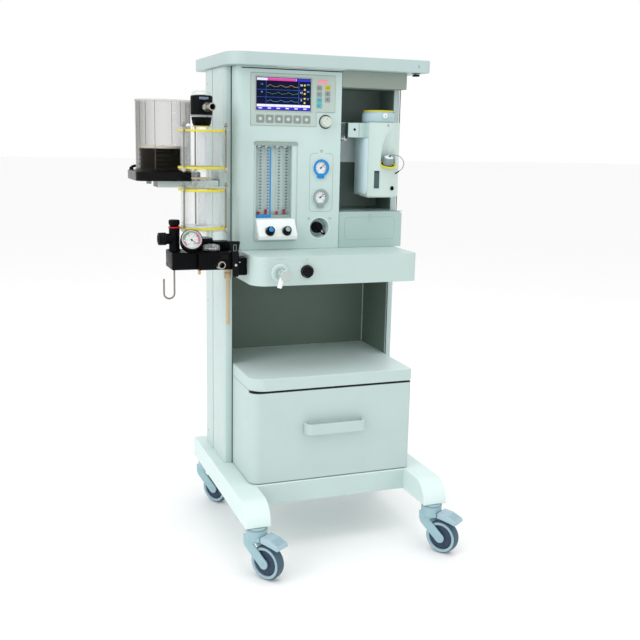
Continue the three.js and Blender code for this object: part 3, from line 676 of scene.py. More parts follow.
# Dark tone for lines that paint the darker edges a clear dome shows where it is seen edge on: painted shade.
SMOKE_EDGE_SHADE = coated("smoke_edge_shade", tone(120, 114, 98), 0.3, 0.06, (0.6, 0.03), wear=0.0)
BELLOWS_LOOK = coated("bellows_rubber", tone(7, 8, 11), 0.2, 0.2, (1.1, 0.2), 0.4, 0.0, gleam=0.1)
WARM_WHITE = coated("warm_white", tone(232, 228, 212), 0.4, 0.03, (0.6, 0.05))


# ---------------------------------------------------------------- camera, floor and light

CAMERA_AT = (-973.0, -2652.6, 1234.4)
CAMERA_YAW, CAMERA_PITCH, CAMERA_ROLL = 20.71, -11.49, 1.24
LENS_MM, SENSOR_MM = 51.28, 36.0
WORLD_STRENGTH = 1.0
KEY_POWER, FILL_POWER, TOP_POWER, RIM_POWER = 50, 4, 34, 4


def build_camera():
    data = bpy.data.cameras.new("view")
    data.lens = LENS_MM
    data.sensor_width = SENSOR_MM
    data.clip_end = 50
    yaw, pitch, roll = radians(CAMERA_YAW), radians(CAMERA_PITCH), radians(CAMERA_ROLL)
    ahead = Vector((sin(yaw) * cos(pitch), cos(yaw) * cos(pitch), sin(pitch)))
    right = Vector((cos(yaw), -sin(yaw), 0))
    up = right.cross(ahead)
    side = right * cos(roll) + up * sin(roll)
    top = up * cos(roll) - right * sin(roll)
    camera = bpy.data.objects.new("view", data)
    matrix = Matrix((side, top, -ahead)).transposed().to_4x4()
    matrix.translation = TO_FRAME @ Vector(CAMERA_AT)
    camera.matrix_world = matrix
    bpy.context.scene.collection.objects.link(camera)
    bpy.context.scene.camera = camera


def build_floor():
    reach = 40
    mesh = bpy.data.meshes.new("floor")
    mesh.from_pydata([(-reach, -reach, 0), (reach, -reach, 0), (reach, reach, 0), (-reach, reach, 0)], [],
                     [(0, 1, 2, 3)])
    floor = bpy.data.objects.new("floor", mesh)
    mesh.materials.append(coated("floor_pale", tone(250, 250, 250), 0.6, 0.01, (4, 0.05), 0.05, 0.0))
    bpy.context.scene.collection.objects.link(floor)


def area_light(name, place, target, size, power):
    data = bpy.data.lights.new(name, "AREA")
    data.shape = "RECTANGLE"
    data.size, data.size_y = size
    data.energy = power
    lamp = bpy.data.objects.new(name, data)
    lamp.location = place
    lamp.rotation_euler = (Vector(target) - Vector(place)).to_track_quat("-Z", "Y").to_euler()
    bpy.context.scene.collection.objects.link(lamp)


def build_light():
    world = bpy.data.worlds.new("studio")
    world.use_nodes = True
    world.node_tree.nodes["Background"].inputs["Color"].default_value = (1.0, 1.0, 1.0, 1.0)
    world.node_tree.nodes["Background"].inputs["Strength"].default_value = WORLD_STRENGTH
    bpy.context.scene.world = world
    middle = (0.1, 0.0, 0.8)
    area_light("key", (-3.6, -1.5, 2.7), middle, (2.4, 2.4), KEY_POWER)
    area_light("fill", (2.4, -3.4, 1.6), middle, (2.4, 2.0), FILL_POWER)
    area_light("top", (0.2, -0.6, 4.2), middle, (2.6, 2.6), TOP_POWER)
    area_light("rim", (1.8, 3.2, 2.6), middle, (2.0, 2.0), RIM_POWER)


build_camera()
build_floor()
build_light()
bpy.context.scene.view_settings.view_transform = "Standard"


# ---------------------------------------------------------------- sheet-metal shells

SHELLS = [
    ("base_frame", PAINT_LIGHT, "frame_paint", 2.5),
    ("column_left", PAINT_COLUMN, "frame_paint", 0.8),
    ("column_right", PAINT_COLUMN, "frame_paint", 0.8),
    ("top_shelf", PAINT_SHELF, "enclosure", 3.0),
    ("rear_panel", PAINT_BACK, "enclosure", 0.8),
    ("front_housing", PAINT, "enclosure", 0.7),
    ("display_module", OVERLAY, "bezel", 0.6),
    ("bay_cover", PAINT_COVER, "enclosure", 0.8),
    ("work_surface", PAINT_DESK, "enclosure", 3.0),
    ("cabinet_shell", PAINT_DRAWER, "enclosure", 1.0),
    ("cabinet_top", PAINT_DESK, "enclosure", 3.0),
    ("drawer_front", PAINT_DRAWER, "enclosure", 1.4),
    ("drawer_box", PAINT_LIGHT, "enclosure", 0.8),
    ("drawer_handle", PAINT_DRAWER, "enclosure", 2.2),
    ("gas_module", ALUMINIUM, "aluminium", 1.5),
]


TURNED_UP, TURNED_FRONT = 0.7, -0.7
BEAM_TOP, FEET_BACK = 213, -300
DRAWER_EDGE = 494
# Faces repainted by the way they face: the darker fronts of the base and columns are painted shade, the
# lighter top of the cabinet is painted light, and the dark top edge of the drawer front is a painted shadow
# of the gap above the drawer.
LIGHT_AND_SHADE_REPAINTS = {
    "base_frame": (PAINT, lambda p, n: n.y < TURNED_FRONT and p.z < BEAM_TOP and p.y > FEET_BACK),
    "cabinet_top": (PAINT_LIGHT, lambda p, n: n.z > TURNED_UP),
    "drawer_front": (SEAM, lambda p, n: n.z > 0.25 and p.z > DRAWER_EDGE),
    "column_left": (PAINT_SHELF, lambda p, n: n.y < TURNED_FRONT),
    "column_right": (PAINT_SHELF, lambda p, n: n.y < TURNED_FRONT),
}


def build_shells():
    for name, material, slot, bevel in SHELLS:
        shown = refined(name, material, bevel)
        if name in LIGHT_AND_SHADE_REPAINTS:
            paint_faces(shown, *LIGHT_AND_SHADE_REPAINTS[name])


build_shells()


# ---------------------------------------------------------------- display

PANEL_FACE = -54.0
MODULE_FACE = -56.3
SCREEN_FACE = -55.3
SCREEN = (-203.0, -35.0, 1301.0, 1394.0)
SOFT_KEY_STEP = 28.4
MENU_STEP = 27.4


def plate(x0, x1, z0, z1, face, thick, bevel=0.2, corner=0.0):
    """A thin plate on the front, from face toward the viewer."""
    return at(slab(rectangle(x0, x1, z0, z1, corner), 0, thick, bevel), (0, face, 0), FRONT)


def ring_sign(x, z, face, inner, outer, sides=28):
    """A small printed ring on the front."""
    return at(ring_shape(inner, outer, 0, 0.2, 0.05, sides), (x, face, z), FRONT)


def bow(radius, angles, z, height=None):
    """Points on an arc over XY, at angles in degrees."""
    return [(radius * cos(radians(a)), (height or radius) * sin(radians(a)), z) for a in angles]


def outline_plate(outer, inner, face, thick, bevel=0.15):
    return at(slab(outer, 0, thick, bevel, [inner]), (0, face, 0), FRONT)


def trace(start, end, z, height, beats, shape, face, width=0.32):
    """One wave across the screen."""
    steps = 14 * beats
    path = []
    for i in range(steps + 1):
        share = i / steps
        path.append((start + (end - start) * share, face, z + height * shape((share * beats) % 1)))
    return tube(path, width, 4)


def breath(t):
    return (1 - cos(pi * min(1, t / 0.35))) / 2 if t < 0.35 else max(0.0, 1 - (t - 0.35) * 3.2)


def flow_wave(t):
    return 0.9 * (1 - t / 0.4) if t < 0.4 else -0.7 * max(0.0, 1 - (t - 0.4) * 2.6)


def build_screen():
    x0, x1, z0, z1 = SCREEN
    face = SCREEN_FACE + 0.02
    step = 0.12
    menu = z0 + 17
    side = x1 - 38
    piece("screen_field", plate(x0, x1, z0, z1, face, step, 0), SCREEN_NAVY)
    piece("screen_frame",
          outline_plate(rectangle(x0, x1, z0, z1, 2), rectangle(x0 + 2, x1 - 2, z0 + 2, z1 - 2, 1.5),
                                        face, 0.5), INK)
    layer = face - step
    bars = [plate(x0 + 2, x1 - 2, z1 - 9, z1 - 2, layer, step, 0)]
    bars += [plate(x0 + 2 + i * MENU_STEP, x0 + 28.8 + i * MENU_STEP, menu - 7, menu, layer, step, 0)
             for i in range(6)]
    piece("screen_bars", bars, SCREEN_SKY)
    deep = [plate(x0 + 2 + i * MENU_STEP, x0 + 28.8 + i * MENU_STEP, z0 + 2, menu - 7.4, layer, step, 0)
            for i in range(6)]
    deep += [plate(x1 - 45, x1 - 2.2, z1 - 9, z1 - 2, layer - step / 2, step, 0)]
    piece("screen_deep_bars", deep, SCREEN_DEEP)
    piece("screen_banner", plate(x0 + 34, x1 - 46, z1 - 9, z1 - 2.4, layer - step, step, 0),
          SCREEN_MAGENTA)
    lines = [plate(side, side + 0.7, menu + 2, z1 - 10, layer, step, 0),
             plate(x0 + 30, x0 + 30.5, menu + 2, z1 - 10, layer, step, 0)]
    lines += [plate(x0 + 2, x1 - 2, z, z + 0.5, layer, step, 0) for z in (menu + 20, menu + 41)]
    piece("screen_rules", lines, SCREEN_BLUE)
    wave_face = layer - step
    span = (x0 + 32, side - 2)
    waves = [("pressure", 50, 5, breath, SCREEN_YELLOW), ("flow", 31, 4, flow_wave, SCREEN_GREEN),
             ("volume", 8, 4, breath, SCREEN_CYAN)]
    for name, z, height, shape, look in waves:
        line = trace(*span, menu + z, height, 3, shape, wave_face)
        piece(f"screen_wave_{name}", line, look)
    build_screen_numbers(x0, side, menu, layer - 0.05)


def build_screen_numbers(left, side, menu, face):
    rows = [("18", 56), ("12", 35), ("5", 14)]
    marks = [at(lettering(text, 8, 0.15), (side + 8, face, menu + z), FRONT) for text, z in rows]
    piece("screen_readings", marks, SCREEN_WHITE)
    blocks = [plate(side + 16, side + 21, menu + z, menu + z + 5, face + 0.05, 0.15, 0)
              for z in (4, 16, 30, 42, 54)]
    piece("screen_blocks", blocks, SCREEN_YELLOW)
    small = [("420", 58), ("50", 38), ("21", 17)]
    marks = [at(lettering(text, 7, 0.15), (side + 29, face, menu + z), FRONT) for text, z in small]
    marks += [at(lettering(text, 6, 0.15), (left + 17, face, menu + z), FRONT) for text,
              z in (("1.2", 56), ("40", 34))]
    piece("screen_limits", marks, SCREEN_CYAN)
    cells = [plate(left + 8 + i * MENU_STEP, left + 18 + i * MENU_STEP, menu - 12.5, menu - 9.5, face,
                   0.1, 0) for i in range(6)]
    piece("screen_menu_marks", cells, SCREEN_SKY)


KEY_COLUMNS = [
    (-9, [(1369, "MID_GREY"), (1351, "MID_GREY"), (1334, "TEAL"), (1318, "TEAL")]),
    (17, [(1370, "AMBER"), (1353, "MID_GREY"), (1336, "MID_GREY")]),
]


def build_keys():
    face = MODULE_FACE
    for i in range(6):
        x = -190 + SOFT_KEY_STEP * i
        z = 1276.5
        name = f"soft_key_{i + 1}"
        piece(name, [plate(x - 12.2, x + 12.2, z - 11.6, z + 11.6, face, 0.7, 0.3, 3.5)], KEY_GREEN)
        dome = lathe([(0, 0), (4.9, 0), (4.9, 0.9), (4.0, 1.3), (0, 1.5)], 28, 0.3)
        piece(name + "_dot", at(dome, (x, face - 0.6, z), FRONT), CREAM)
    palette = {"MID_GREY": MID_GREY, "TEAL": TEAL, "AMBER": AMBER}
    for column, (x, keys) in enumerate(KEY_COLUMNS):
        for row, (z, look) in enumerate(keys):
            key = plate(x - 8.6, x + 8.6, z - 7.4, z + 7.4, face, 0.8, 0.35, 2)
            name = f"pad_key_{column + 1}_{row + 1}"
            piece(name, key, palette[look])
            piece(name + "_mark", key_mark(x, z, face - 0.75, column, row), INK)
    lamp = slab(rounded([(-15, -5), (15, -5), (15, 5), (-15, 5)], 4.6), 0, 1.6, 0.9)
    piece("alarm_lamp", at(lamp, (1, face, 1387), FRONT), PINK)


def key_mark(x, z, face, column, row):
    """A plain sign on a key: an arrow or bars."""
    if column and row:
        way = 1 if row == 1 else -1
        return at(slab([(-3, -2 * way), (3, -2 * way), (0, 2.5 * way)], 0, 0.2, 0), (x, face, z), FRONT)
    bars = [plate(x - 4.5, x + 4.5 - 3 * (row % 2), z - 2 + 2.6 * k, z - 1.1 + 2.6 * k, face, 0.2, 0)
            for k in range(2)]
    return merged(bars)


def build_module_rim():
    rim = [(-219.5, 1256.5), (-16, 1256.5), (-16, 1298.5), (43, 1298.5), (43, 1406), (-219.5, 1406)]
    hole = [(-217.6, 1258.4), (-17.9, 1258.4), (-17.9, 1300.4), (41.1, 1300.4), (41.1, 1404.1),
            (-217.6, 1404.1)]
    piece("module_gasket", outline_plate(rim, hole, PANEL_FACE, 0.5, 0.1), BEZEL_GREY)
    frame_out = rectangle(-206.5, -31.5, 1297.5, 1397.5, 3)
    frame_in = rectangle(-203.2, -34.8, 1300.8, 1394.2, 1.5)
    piece("screen_surround", outline_plate(frame_out, frame_in, MODULE_FACE, 0.9, 0.4), BEZEL_GREY)


def build_encoder():
    centre = (13, -54.6, 1272)
    profile = [(0, 0), (17, 0), (17, 3), (16.6, 5), (15.6, 14), (14.6, 16.6), (12, 17.4), (4, 16.8),
               (0, 16.6)]
    piece("encoder_grip", at(lathe(profile, 96, 0.5, scallops(24, 0.018, 12, 3, 15)), centre, FRONT),
          CREAM, "display_knob_body",
          "display_knob")
    mark = at(disc(1.6, 0, 0.5, 0.1, 16), (13, -71.4, 1281), FRONT)
    piece("encoder_mark", mark, MID_GREY, "display_knob_body")
    # A dark ring around the knob paints the shade in the gap it sits in.
    well = at(ring_shape(16.2, 20.6, 0, 0.55), (13, PANEL_FACE, 1272), FRONT)
    piece("encoder_gap_shade", well, INK)


# ---------------------------------------------------------------- flow meters

TUBES = (-189.0, -166.0, -132.0, -109.0)
TUBE_Y = -40.0
TUBE_FLOOR, TUBE_TOP = 990.0, 1200.0
RISE_FLOOR = 1003.0
WINDOW = (-201.6, -90.4, 988.0, 1200.0)
KNOB_AXIS = (0, -0.866, 0.5)


def build_flow_frame():
    outer = rectangle(-206.6, -73.4, 918.4, 1210.6, 6)
    window = rectangle(*WINDOW, 3)
    front = at(slab(outer, 0, 28, 1.4, [window]), (0, -27.5, 0), FRONT)
    back = at(slab(rectangle(-206, -74, 919, 1210, 6), 0, 16, 0.5), (0, -12, 0), FRONT)
    wedge = [(PANEL_FACE, 985), (-58, 984), (-88, 938), (-85, 926), (PANEL_FACE, 926)]
    sloped = at(slab(rounded(wedge, [0, 2, 4, 3, 0]), -200.6, -80.4, 1.6), (0, 0, 0), RIGHT, BACK)
    piece("flow_frame", [front, back], PAINT, replaces="flow_meter_block")
    piece("flow_control_block", sloped, WHITE)
    hood = slab(rounded([(-206.6, 1201.5), (-73.4, 1201.5), (-73.4, 1210.6), (-206.6, 1210.6)],
                        [1, 1, 5, 5]), 0, 3, 1)
    piece("flow_frame_hood", at(hood, (0, -55.4, 0), FRONT), HOOD_GREY)
    shade_line = rectangle(-204.4, -75.6, 920.6, 1208.4, 5)
    inner_line = rectangle(-203.4, -76.6, 921.6, 1207.4, 4.4)
    piece("flow_frame_line", outline_plate(shade_line, inner_line, -55.4, 0.25), BEZEL_GREY)


def scale_marks(x, face):
    """Ticks of one flow tube, each second one long."""
    marks = []
    for i in range(41):
        z = RISE_FLOOR + 14 + i * 4.4
        wide, tall = (3.6, 1.25) if i % 2 == 0 else (1.2, 0.4)
        marks.append(plate(x - wide, x + wide, z - tall, z + tall, face, 0.12, 0))
    return merged(marks)


def build_flow_scales():
    face = -27.6
    x0, x1, z0, z1 = WINDOW
    # The glowing scale plate paints light into the window.
    piece("scale_plate", plate(x0 + 0.2, x1 - 0.2, z0 + 0.2, z1 - 0.2, face, 0.3, 0), SCALE_PAINTED_GLOW)
    blue = [plate(-157.6, -152.6, z0 + 4, z1 - 4, -47, 0.3, 0.1),
            plate(x0 + 1, -152.6, z0 + 0.6, z0 + 9, -50, 1.0, 0.3)]
    piece("oxygen_bands", blue, CODE_BLUE)
    grey = [plate(-98.5, -95.5, z0 + 4, z1 - 4, -47, 0.3, 0.1),
            plate(-151, x1 - 1, z0 + 0.6, z0 + 9, -50, 1.0, 0.3)]
    piece("nitrous_bands", grey, CODE_GREY)
    for i, x in enumerate(TUBES):
        piece(f"flow_scale_{i + 1}", scale_marks(x + 3.4, TUBE_Y - 8), INK)


def build_flow_tubes():
    wall = [(4.9, TUBE_FLOOR + 4), (7.5, TUBE_FLOOR + 4), (7.5, TUBE_TOP - 4), (4.9, TUBE_TOP - 4)]
    for i, x in enumerate(TUBES):
        piece(f"flow_tube_{i + 1}", at(lathe(wall, 36, ring=True), (x, TUBE_Y, 0)), CLEAR_TUBE)
        low = lathe([(0, TUBE_FLOOR - 1.5), (8.6, TUBE_FLOOR - 1.5), (8.6, TUBE_FLOOR + 5),
                     (7.7, TUBE_FLOOR + 7),
                     (3.5, TUBE_FLOOR + 7), (0, TUBE_FLOOR + 5)], 32, 0.5)
        high = lathe([(0, TUBE_TOP - 6), (7.7, TUBE_TOP - 6), (8.6, TUBE_TOP - 4), (8.6, TUBE_TOP - 0.4),
                      (0, TUBE_TOP - 0.4)], 32, 0.5)
        piece(f"tube_ends_{i + 1}", [at(low, (x, TUBE_Y, 0)), at(high, (x, TUBE_Y, 0))], ALUMINIUM)
    tall = [(0, -5), (4.2, -5), (4.4, -4), (4, -2), (4, 6), (4.6, 8.6), (4.6, 10), (0, 10)]
    short = [(0, -5), (4.2, -5), (4.4, -4), (3.8, -2), (4.6, 1.6), (4.6, 3.6), (0, 3.6)]
    floats = [("oxygen", 0, short, True), ("oxygen", 1, tall, False), ("nitrous", 2, short, True),
              ("nitrous", 3, tall, False)]
    for gas, tube_index, profile, stands in floats:
        shape = at(lathe(profile, 28, 0.3), (TUBES[tube_index], TUBE_Y, RISE_FLOOR))
        piece(f"{gas}_rotor_{tube_index + 1}", shape, MAROON, f"float_{gas}_body",
              f"float_{gas}" if stands else ())


def build_flow_knobs():
    profile = [(0, 0.4), (13, 0.4), (13, 3), (12.8, 4), (12, 15), (10.8, 16.8), (7.6, 17), (7.6, 16.2),
               (0, 16.2)]
    skirt = [(0, 0.05), (14.6, 0.05), (14.6, 0.6), (0, 0.6)]
    for name, x, cap in (("oxygen", -165, CODE_BLUE), ("nitrous", -113, CODE_GREY)):
        centre = (x, -81.1, 950)
        body = f"flow_knob_{name}_body"
        piece(f"{name}_grip", at(lathe(profile, 108, 0.5, scallops(9, 0.025, 8, 3)), centre, KNOB_AXIS),
              BLACK, body,
              f"flow_knob_{name}")
        piece(f"{name}_cap", at(disc(7.4, 15.9, 17, 0.4), centre, KNOB_AXIS), cap, body)
        pointer = block(-0.7, 0.7, 7.3, 10.2, 16.4, 17.1, 0.2)
        piece(f"{name}_pointer", at(pointer, centre, KNOB_AXIS), WHITE, body)
        piece(f"{name}_skirt", at(lathe(skirt, 40, 0.2), centre, KNOB_AXIS), MID_GREY)
        turn_arc = tube(bow(17.5, range(40, 141, 10), 0.15, 15.5), 0.5, 6)
        signs = [at(lettering("+", 6, 0.2), (x - 17, -81.1, 956), KNOB_AXIS)]
        piece(f"{name}_turn_mark", [at(turn_arc, centre, KNOB_AXIS)] + signs, cap)


# ---------------------------------------------------------------- pressure gauges and switch

def tick_ring(radius, length, width, first, last, count, lift):
    marks = []
    for i in range(count):
        a = radians(first + (last - first) * i / (count - 1))
        mark = block(radius - length, radius, -width / 2, width / 2, lift, lift + PRINT_DEPTH, 0)
        marks.append(placed(mark, Matrix.Rotation(a, 4, "Z")))
    return marks


def dial_figures(radius, first, last, texts, size, lift):
    marks = []
    for i, text in enumerate(texts):
        a = radians(first + (last - first) * i / (len(texts) - 1))
        marks.append(moved(lettering(text, size, PRINT_DEPTH), radius * cos(a), radius * sin(a), lift))
    return marks


def build_gauge(name, z, ring_look):
    centre = (1, PANEL_FACE, z)
    case = [(0, -25), (21.5, -25), (21.5, 0.3), (25.4, 0.3), (25.4, 4.6), (24.2, 6), (22.4, 6),
            (21.8, 5.2), (21.8, 1.6),
            (0, 1.6)]
    piece(name + "_case", at(lathe(case, 64, 0.4), centre, FRONT), WHITE,
          replaces=name)
    piece(name + "_ring", at(ring_shape(18.2, 25.5, 5.0, 6.6, 0.6, 64), centre, FRONT), ring_look)
    ticks = tick_ring(17.6, 3.4, 0.9, 225, -45, 11, 1.62) + tick_ring(17.6, 1.8, 0.4, 225, -45, 51, 1.62)
    ticks += dial_figures(11.2, 225, -45, ["0", "2", "4", "6", "8", "10"], 4.2, 1.62)
    piece(name + "_ticks", at(merged(ticks), centre, FRONT), INK)
    band = bow(18.4, range(-45, 46, 5), 1.7)
    piece(name + "_band", at(tube(band, 0.5, 6), centre, FRONT), ring_look)
    piece(name + "_lens", at(disc(21.9, 4.3, 4.9, 0.1, 64), centre, FRONT), LENS)
    refined(name + "_needle", INK, 0.15)


def build_gauge_print():
    outer = rectangle(-34, 41, 1006, 1180, 12)
    inner = rectangle(-33, 40, 1007, 1179, 11.2)
    piece("gauge_outline", outline_plate(outer, inner, PANEL_FACE, 0.2, 0.05), MID_GREY)
    piece("gauge_outline_gap", plate(-9, 15, 1178.6, 1180.4, -54.1, 0.2, 0), PAINT)
    for gas, low, look in (("oxygen", 1105, CODE_BLUE), ("nitrous", 1017, CODE_GREY)):
        tab = plate(-10, 12, low, low + 15, PANEL_FACE, 5.2, 0.8, 4)
        piece(f"{gas}_tab", tab, look)
    icon = [at(ring_shape(3.2, 4, 0, 0.25, 0.05, 32), (3, PANEL_FACE, 1186), FRONT),
            plate(2.6, 3.4, 1186, 1189, PANEL_FACE, 0.25, 0)]
    piece("gauge_sign", icon, INK)


def build_switch():
    centre = (0, -28, 956)
    profile = [(0, 0.3), (17.7, 0.3), (17.7, 2), (16.2, 15.4), (15, 16.5), (0, 16.5)]
    outline = [(-5.5, -12), (5.5, -12), (4.2, 29), (-4.2, 29)]
    lever = slab(rounded(outline, [3, 3, 2.6, 2.6]), 15, 22, 2.2, steps=3)
    turned_lever = placed(lever, Matrix.Rotation(radians(-134), 4, "Z"))
    piece("system_switch_grip", [at(lathe(profile, 120, 0.6, scallops(30, 0.012, 14, 2, 13)), centre,
                                    FRONT), at(turned_lever, centre, FRONT)],
          BLACK, "switch_lever_body", "switch_lever")
    line = placed(block(-1.1, 1.1, 12, 20, 21.9, 22.3, 0.1), Matrix.Rotation(radians(-134), 4, "Z"))
    piece("system_switch_line", at(line, centre, FRONT), WHITE, "switch_lever_body")
    piece("switch_rim", at(ring_shape(31, 34, 0, 0.9, 0.4, 72), (0, PANEL_FACE, 956), FRONT), PAINT_LIGHT)
    signs = [ring_sign(-34, 985, PANEL_FACE, 2.4, 3.1)]
    signs += [plate(-34.35, -33.65, 985, 989.6, PANEL_FACE, 0.2, 0)]
    signs += [ring_sign(34, 985, PANEL_FACE, 2.4, 3.1)]
    piece("switch_signs", signs, INK)


def build_panel_seams():
    """Shadow lines where the front sheet meets its neighbours."""
    lines = [plate(62.9, 64.4, 894.6, 1422.4, -53.4, 0.25, 0),
             plate(-262, 63, 893.9, 894.9, -53.2, 0.3, 0),
             plate(-246, 64, 1416.4, 1419.6, -53.9, 0.3, 0)]
    piece("panel_seams", lines, SEAM)


build_screen()
build_keys()
build_module_rim()
build_encoder()
build_flow_frame()
build_flow_scales()
build_flow_tubes()
build_flow_knobs()
build_gauge("oxygen_gauge", 1137, CODE_BLUE)
build_gauge("nitrous_gauge", 1049, CODE_GREY)
build_gauge_print()
build_switch()
build_panel_seams()


# ---------------------------------------------------------------- vaporizer bay

COVER_FACE, BRACKET_FACE = -52.0, -39.6
HEADER_LOW, BACK_PLATE_FRONT = 1374.6, 18.5
MOUNT_BOLT = (94, -22, 1224)


def build_bay():
    liner = refined("bay_liner", LINER_BAY, 0.7)
    paint_faces(liner, PAINT_HEADER, lambda p, n: p.y < -5 and p.z > HEADER_LOW)
    mount = refined("vaporizer_mount", PAINT, 1.4)
    # The back plate's faces take the near-white tone as painted light.
    paint_faces(mount, PLATE_PAINTED_LIGHT, lambda p, n: p.y > BACK_PLATE_FRONT)
    # Left-facing faces in front of the plate take the dark bay tone as painted shade.
    paint_faces(mount, LINER_BAY, lambda p, n: n.x < -0.5 and p.y < BACK_PLATE_FRONT)
    outer = rectangle(84, 253, 918, 988, 12)
    inner = rectangle(84.9, 252.1, 918.9, 987.1, 11.2)
    print_marks = [outline_plate(outer, inner, COVER_FACE, 0.15, 0)]
    print_marks.append(at(slab(rectangle(163.6, 172.4, 974, 996, 4.3), 0, 0.2, 0,
                               [rectangle(164.5, 171.5, 975, 995, 3.4)]),
                          (0, COVER_FACE, 0), FRONT))
    piece("cover_print", print_marks, MID_GREY)
    # A dark line paints the shadow in the cover's joint.
    piece("cover_seam", plate(65, 277, 1004.6, 1006, COVER_FACE + 0.4, 0.2, 0), SEAM)
    piece("mount_sheet", plate(93, 150, 1229, 1271, -38, 1.6, 0.5, 2), PAINT)
    clamp = [at(disc(4, 0, 1.0, 0.3, 6), (114, BRACKET_FACE, 1252), FRONT),
             at(disc(1.8, 0.8, 1.2, 0.1, 6), (114, BRACKET_FACE, 1252), FRONT)]
    piece("mount_screw", clamp, BLACK)
    # A dark line paints the shadow in the mount sheet's seam.
    seam = [plate(128.4, 129.2, 1230, 1270, BRACKET_FACE, 0.2, 0)]
    piece("mount_seam", seam, SEAM)
    hexes = [at(disc(7, 0, 9, 0.8, 6), MOUNT_BOLT, LEFT), at(disc(4.4, 8, 17, 0.6, 24), MOUNT_BOLT, LEFT)]
    piece("mount_hex", hexes, STEEL)


# ---------------------------------------------------------------- vaporizer

VAPOR_X, VAPOR_HALF, VAPOR_SIDE_Y, VAPOR_SAG = 201.5, 51.5, -66.0, 30.0
FRONT_RADIUS = (VAPOR_HALF ** 2 + VAPOR_SAG ** 2) / (2 * VAPOR_SAG)
FRONT_CENTRE_Y = VAPOR_SIDE_Y - VAPOR_SAG + FRONT_RADIUS
FILLER_AT, FILLER_AXIS = Vector((206, -86, 1146)), Vector((0, -0.34, 0.94)).normalized()
DIAL_AT = (200, -18, 1274.3)
CAP_RADIUS = 15.4
TETHER_BODY = body_of("filler_tether")


def on_shell(x, z, lift=0.0):
    """A point on the vaporizer's curved front and the way it faces."""
    across = x - VAPOR_X
    y = FRONT_CENTRE_Y - sqrt(FRONT_RADIUS ** 2 - across ** 2)
    way = Vector((across, y - FRONT_CENTRE_Y, 0)).normalized()
    return Vector((x, y, z)) + way * lift, way


def build_vaporizer():
    refined("vaporizer_body", VAPOR_WHITE, 2.2, 3)
    # The side panel's lighter tone paints light onto the shaded side.
    side = slab(rounded([(-62, 1059), (36, 1059), (36, 1226), (-62, 1226)], [12, 2, 2, 2]), -1.0, 0.3,
                0.6)
    piece("vaporizer_side_panel", at(side, (150, 0, 0), RIGHT, BACK), VAPOR_SIDE)
    band = slab(rounded([(-63, 1228.5), (24, 1228.5), (24, 1272), (-63, 1272)], [1.5] * 4), -1.3, 0.3,
                0.7)
    piece("vaporizer_band", at(band, (150, 0, 0), RIGHT, BACK), PAINT)
    here, way = on_shell(171, 1104)
    window = slab(rectangle(-9.5, 9.5, -28, 28, 2), -2.0, 0.5, 0.4, [rectangle(-8, 8, -26.5, 26.5, 1.5)])
    piece("sight_frame", at(window, here, way), VAPOR_WHITE)
    piece("sight_glass", at(slab(rectangle(-8.2, 8.2, -26.6, 26.6, 1), -2.0, -0.4, 0.2), here, way),
          SIGHT)
    marks = [at(moved(block(-8, 8, -3, 3, -0.5, -0.2, 0), 0, 23, 0), here, way),
             at(moved(block(-8, 8, -0.5, 0.5, -0.5, -0.2, 0), 0, -23, 0), here, way)]
    piece("sight_levels", marks, INK)
    here, way = on_shell(221, 1078)
    drain = lathe([(0, -3), (6.6, -3), (6.6, 1.4), (5.8, 2.2), (4.4, 2.2), (3.8, 1.4), (0, 1.3)], 32, 0.3)
    piece("drain_plug", at(drain, here, way), BLACK)
    foot = slab(rounded([(156, -56), (247, -56), (242, 30), (162, 30)], 10), 1047.5, 1053.2, 2.5)
    piece("vaporizer_foot", foot, PALE)


def build_filler():
    collar = lathe([(16.4, 0.4), (26.6, 0.4), (27.6, 4.4), (25.4, 5.8), (18.5, 3.6), (16.4, 2.2)], 56,
                   0.4, ring=True)
    piece("filler_collar", at(collar, FILLER_AT, FILLER_AXIS), YELLOW)
    piece("filler_well", at(ring_shape(16.1, 19.4, 2.6, 4.1, 0.3), FILLER_AT, FILLER_AXIS), RUBBER)
    profile = [(0, 0.5), (CAP_RADIUS, 0.5), (CAP_RADIUS, 24.5), (CAP_RADIUS - 1.6, 27), (4, 27.4),
               (0, 27.2)]
    piece("filler_cap_shell", at(lathe(profile, 84, 0.8, scallops(28, 0.012, 12, 4, 24)), FILLER_AT,
                                 FILLER_AXIS), CAP_BLUE, "filler_cap_body",
          "filler_cap")
    lid = disc(CAP_RADIUS - 2.2, 26.8, 27.9, 0.4, 48)
    piece("filler_cap_lid", at(lid, FILLER_AT, FILLER_AXIS), WHITE, "filler_cap_body")


def build_tether():
    start = FILLER_AT + Vector((0, -0.34, 0.94)) * 29
    offsets = [(0, 0, 0), (12, -4, 5), (36, 0, 1), (52, 4, -17), (48, 6, -35), (26, 6, -51)]
    line = smooth_path([start + Vector(o) for o in offsets], 6)
    cable = piece("cap_tether", tube(line, 1.15, 12), WIRE, TETHER_BODY, "filler_tether")
    ends = [tube(line[:4], 1.9, 12), tube(line[-4:], 1.9, 12)]
    sleeves = piece("tether_sleeves", ends, RUBBER, TETHER_BODY)


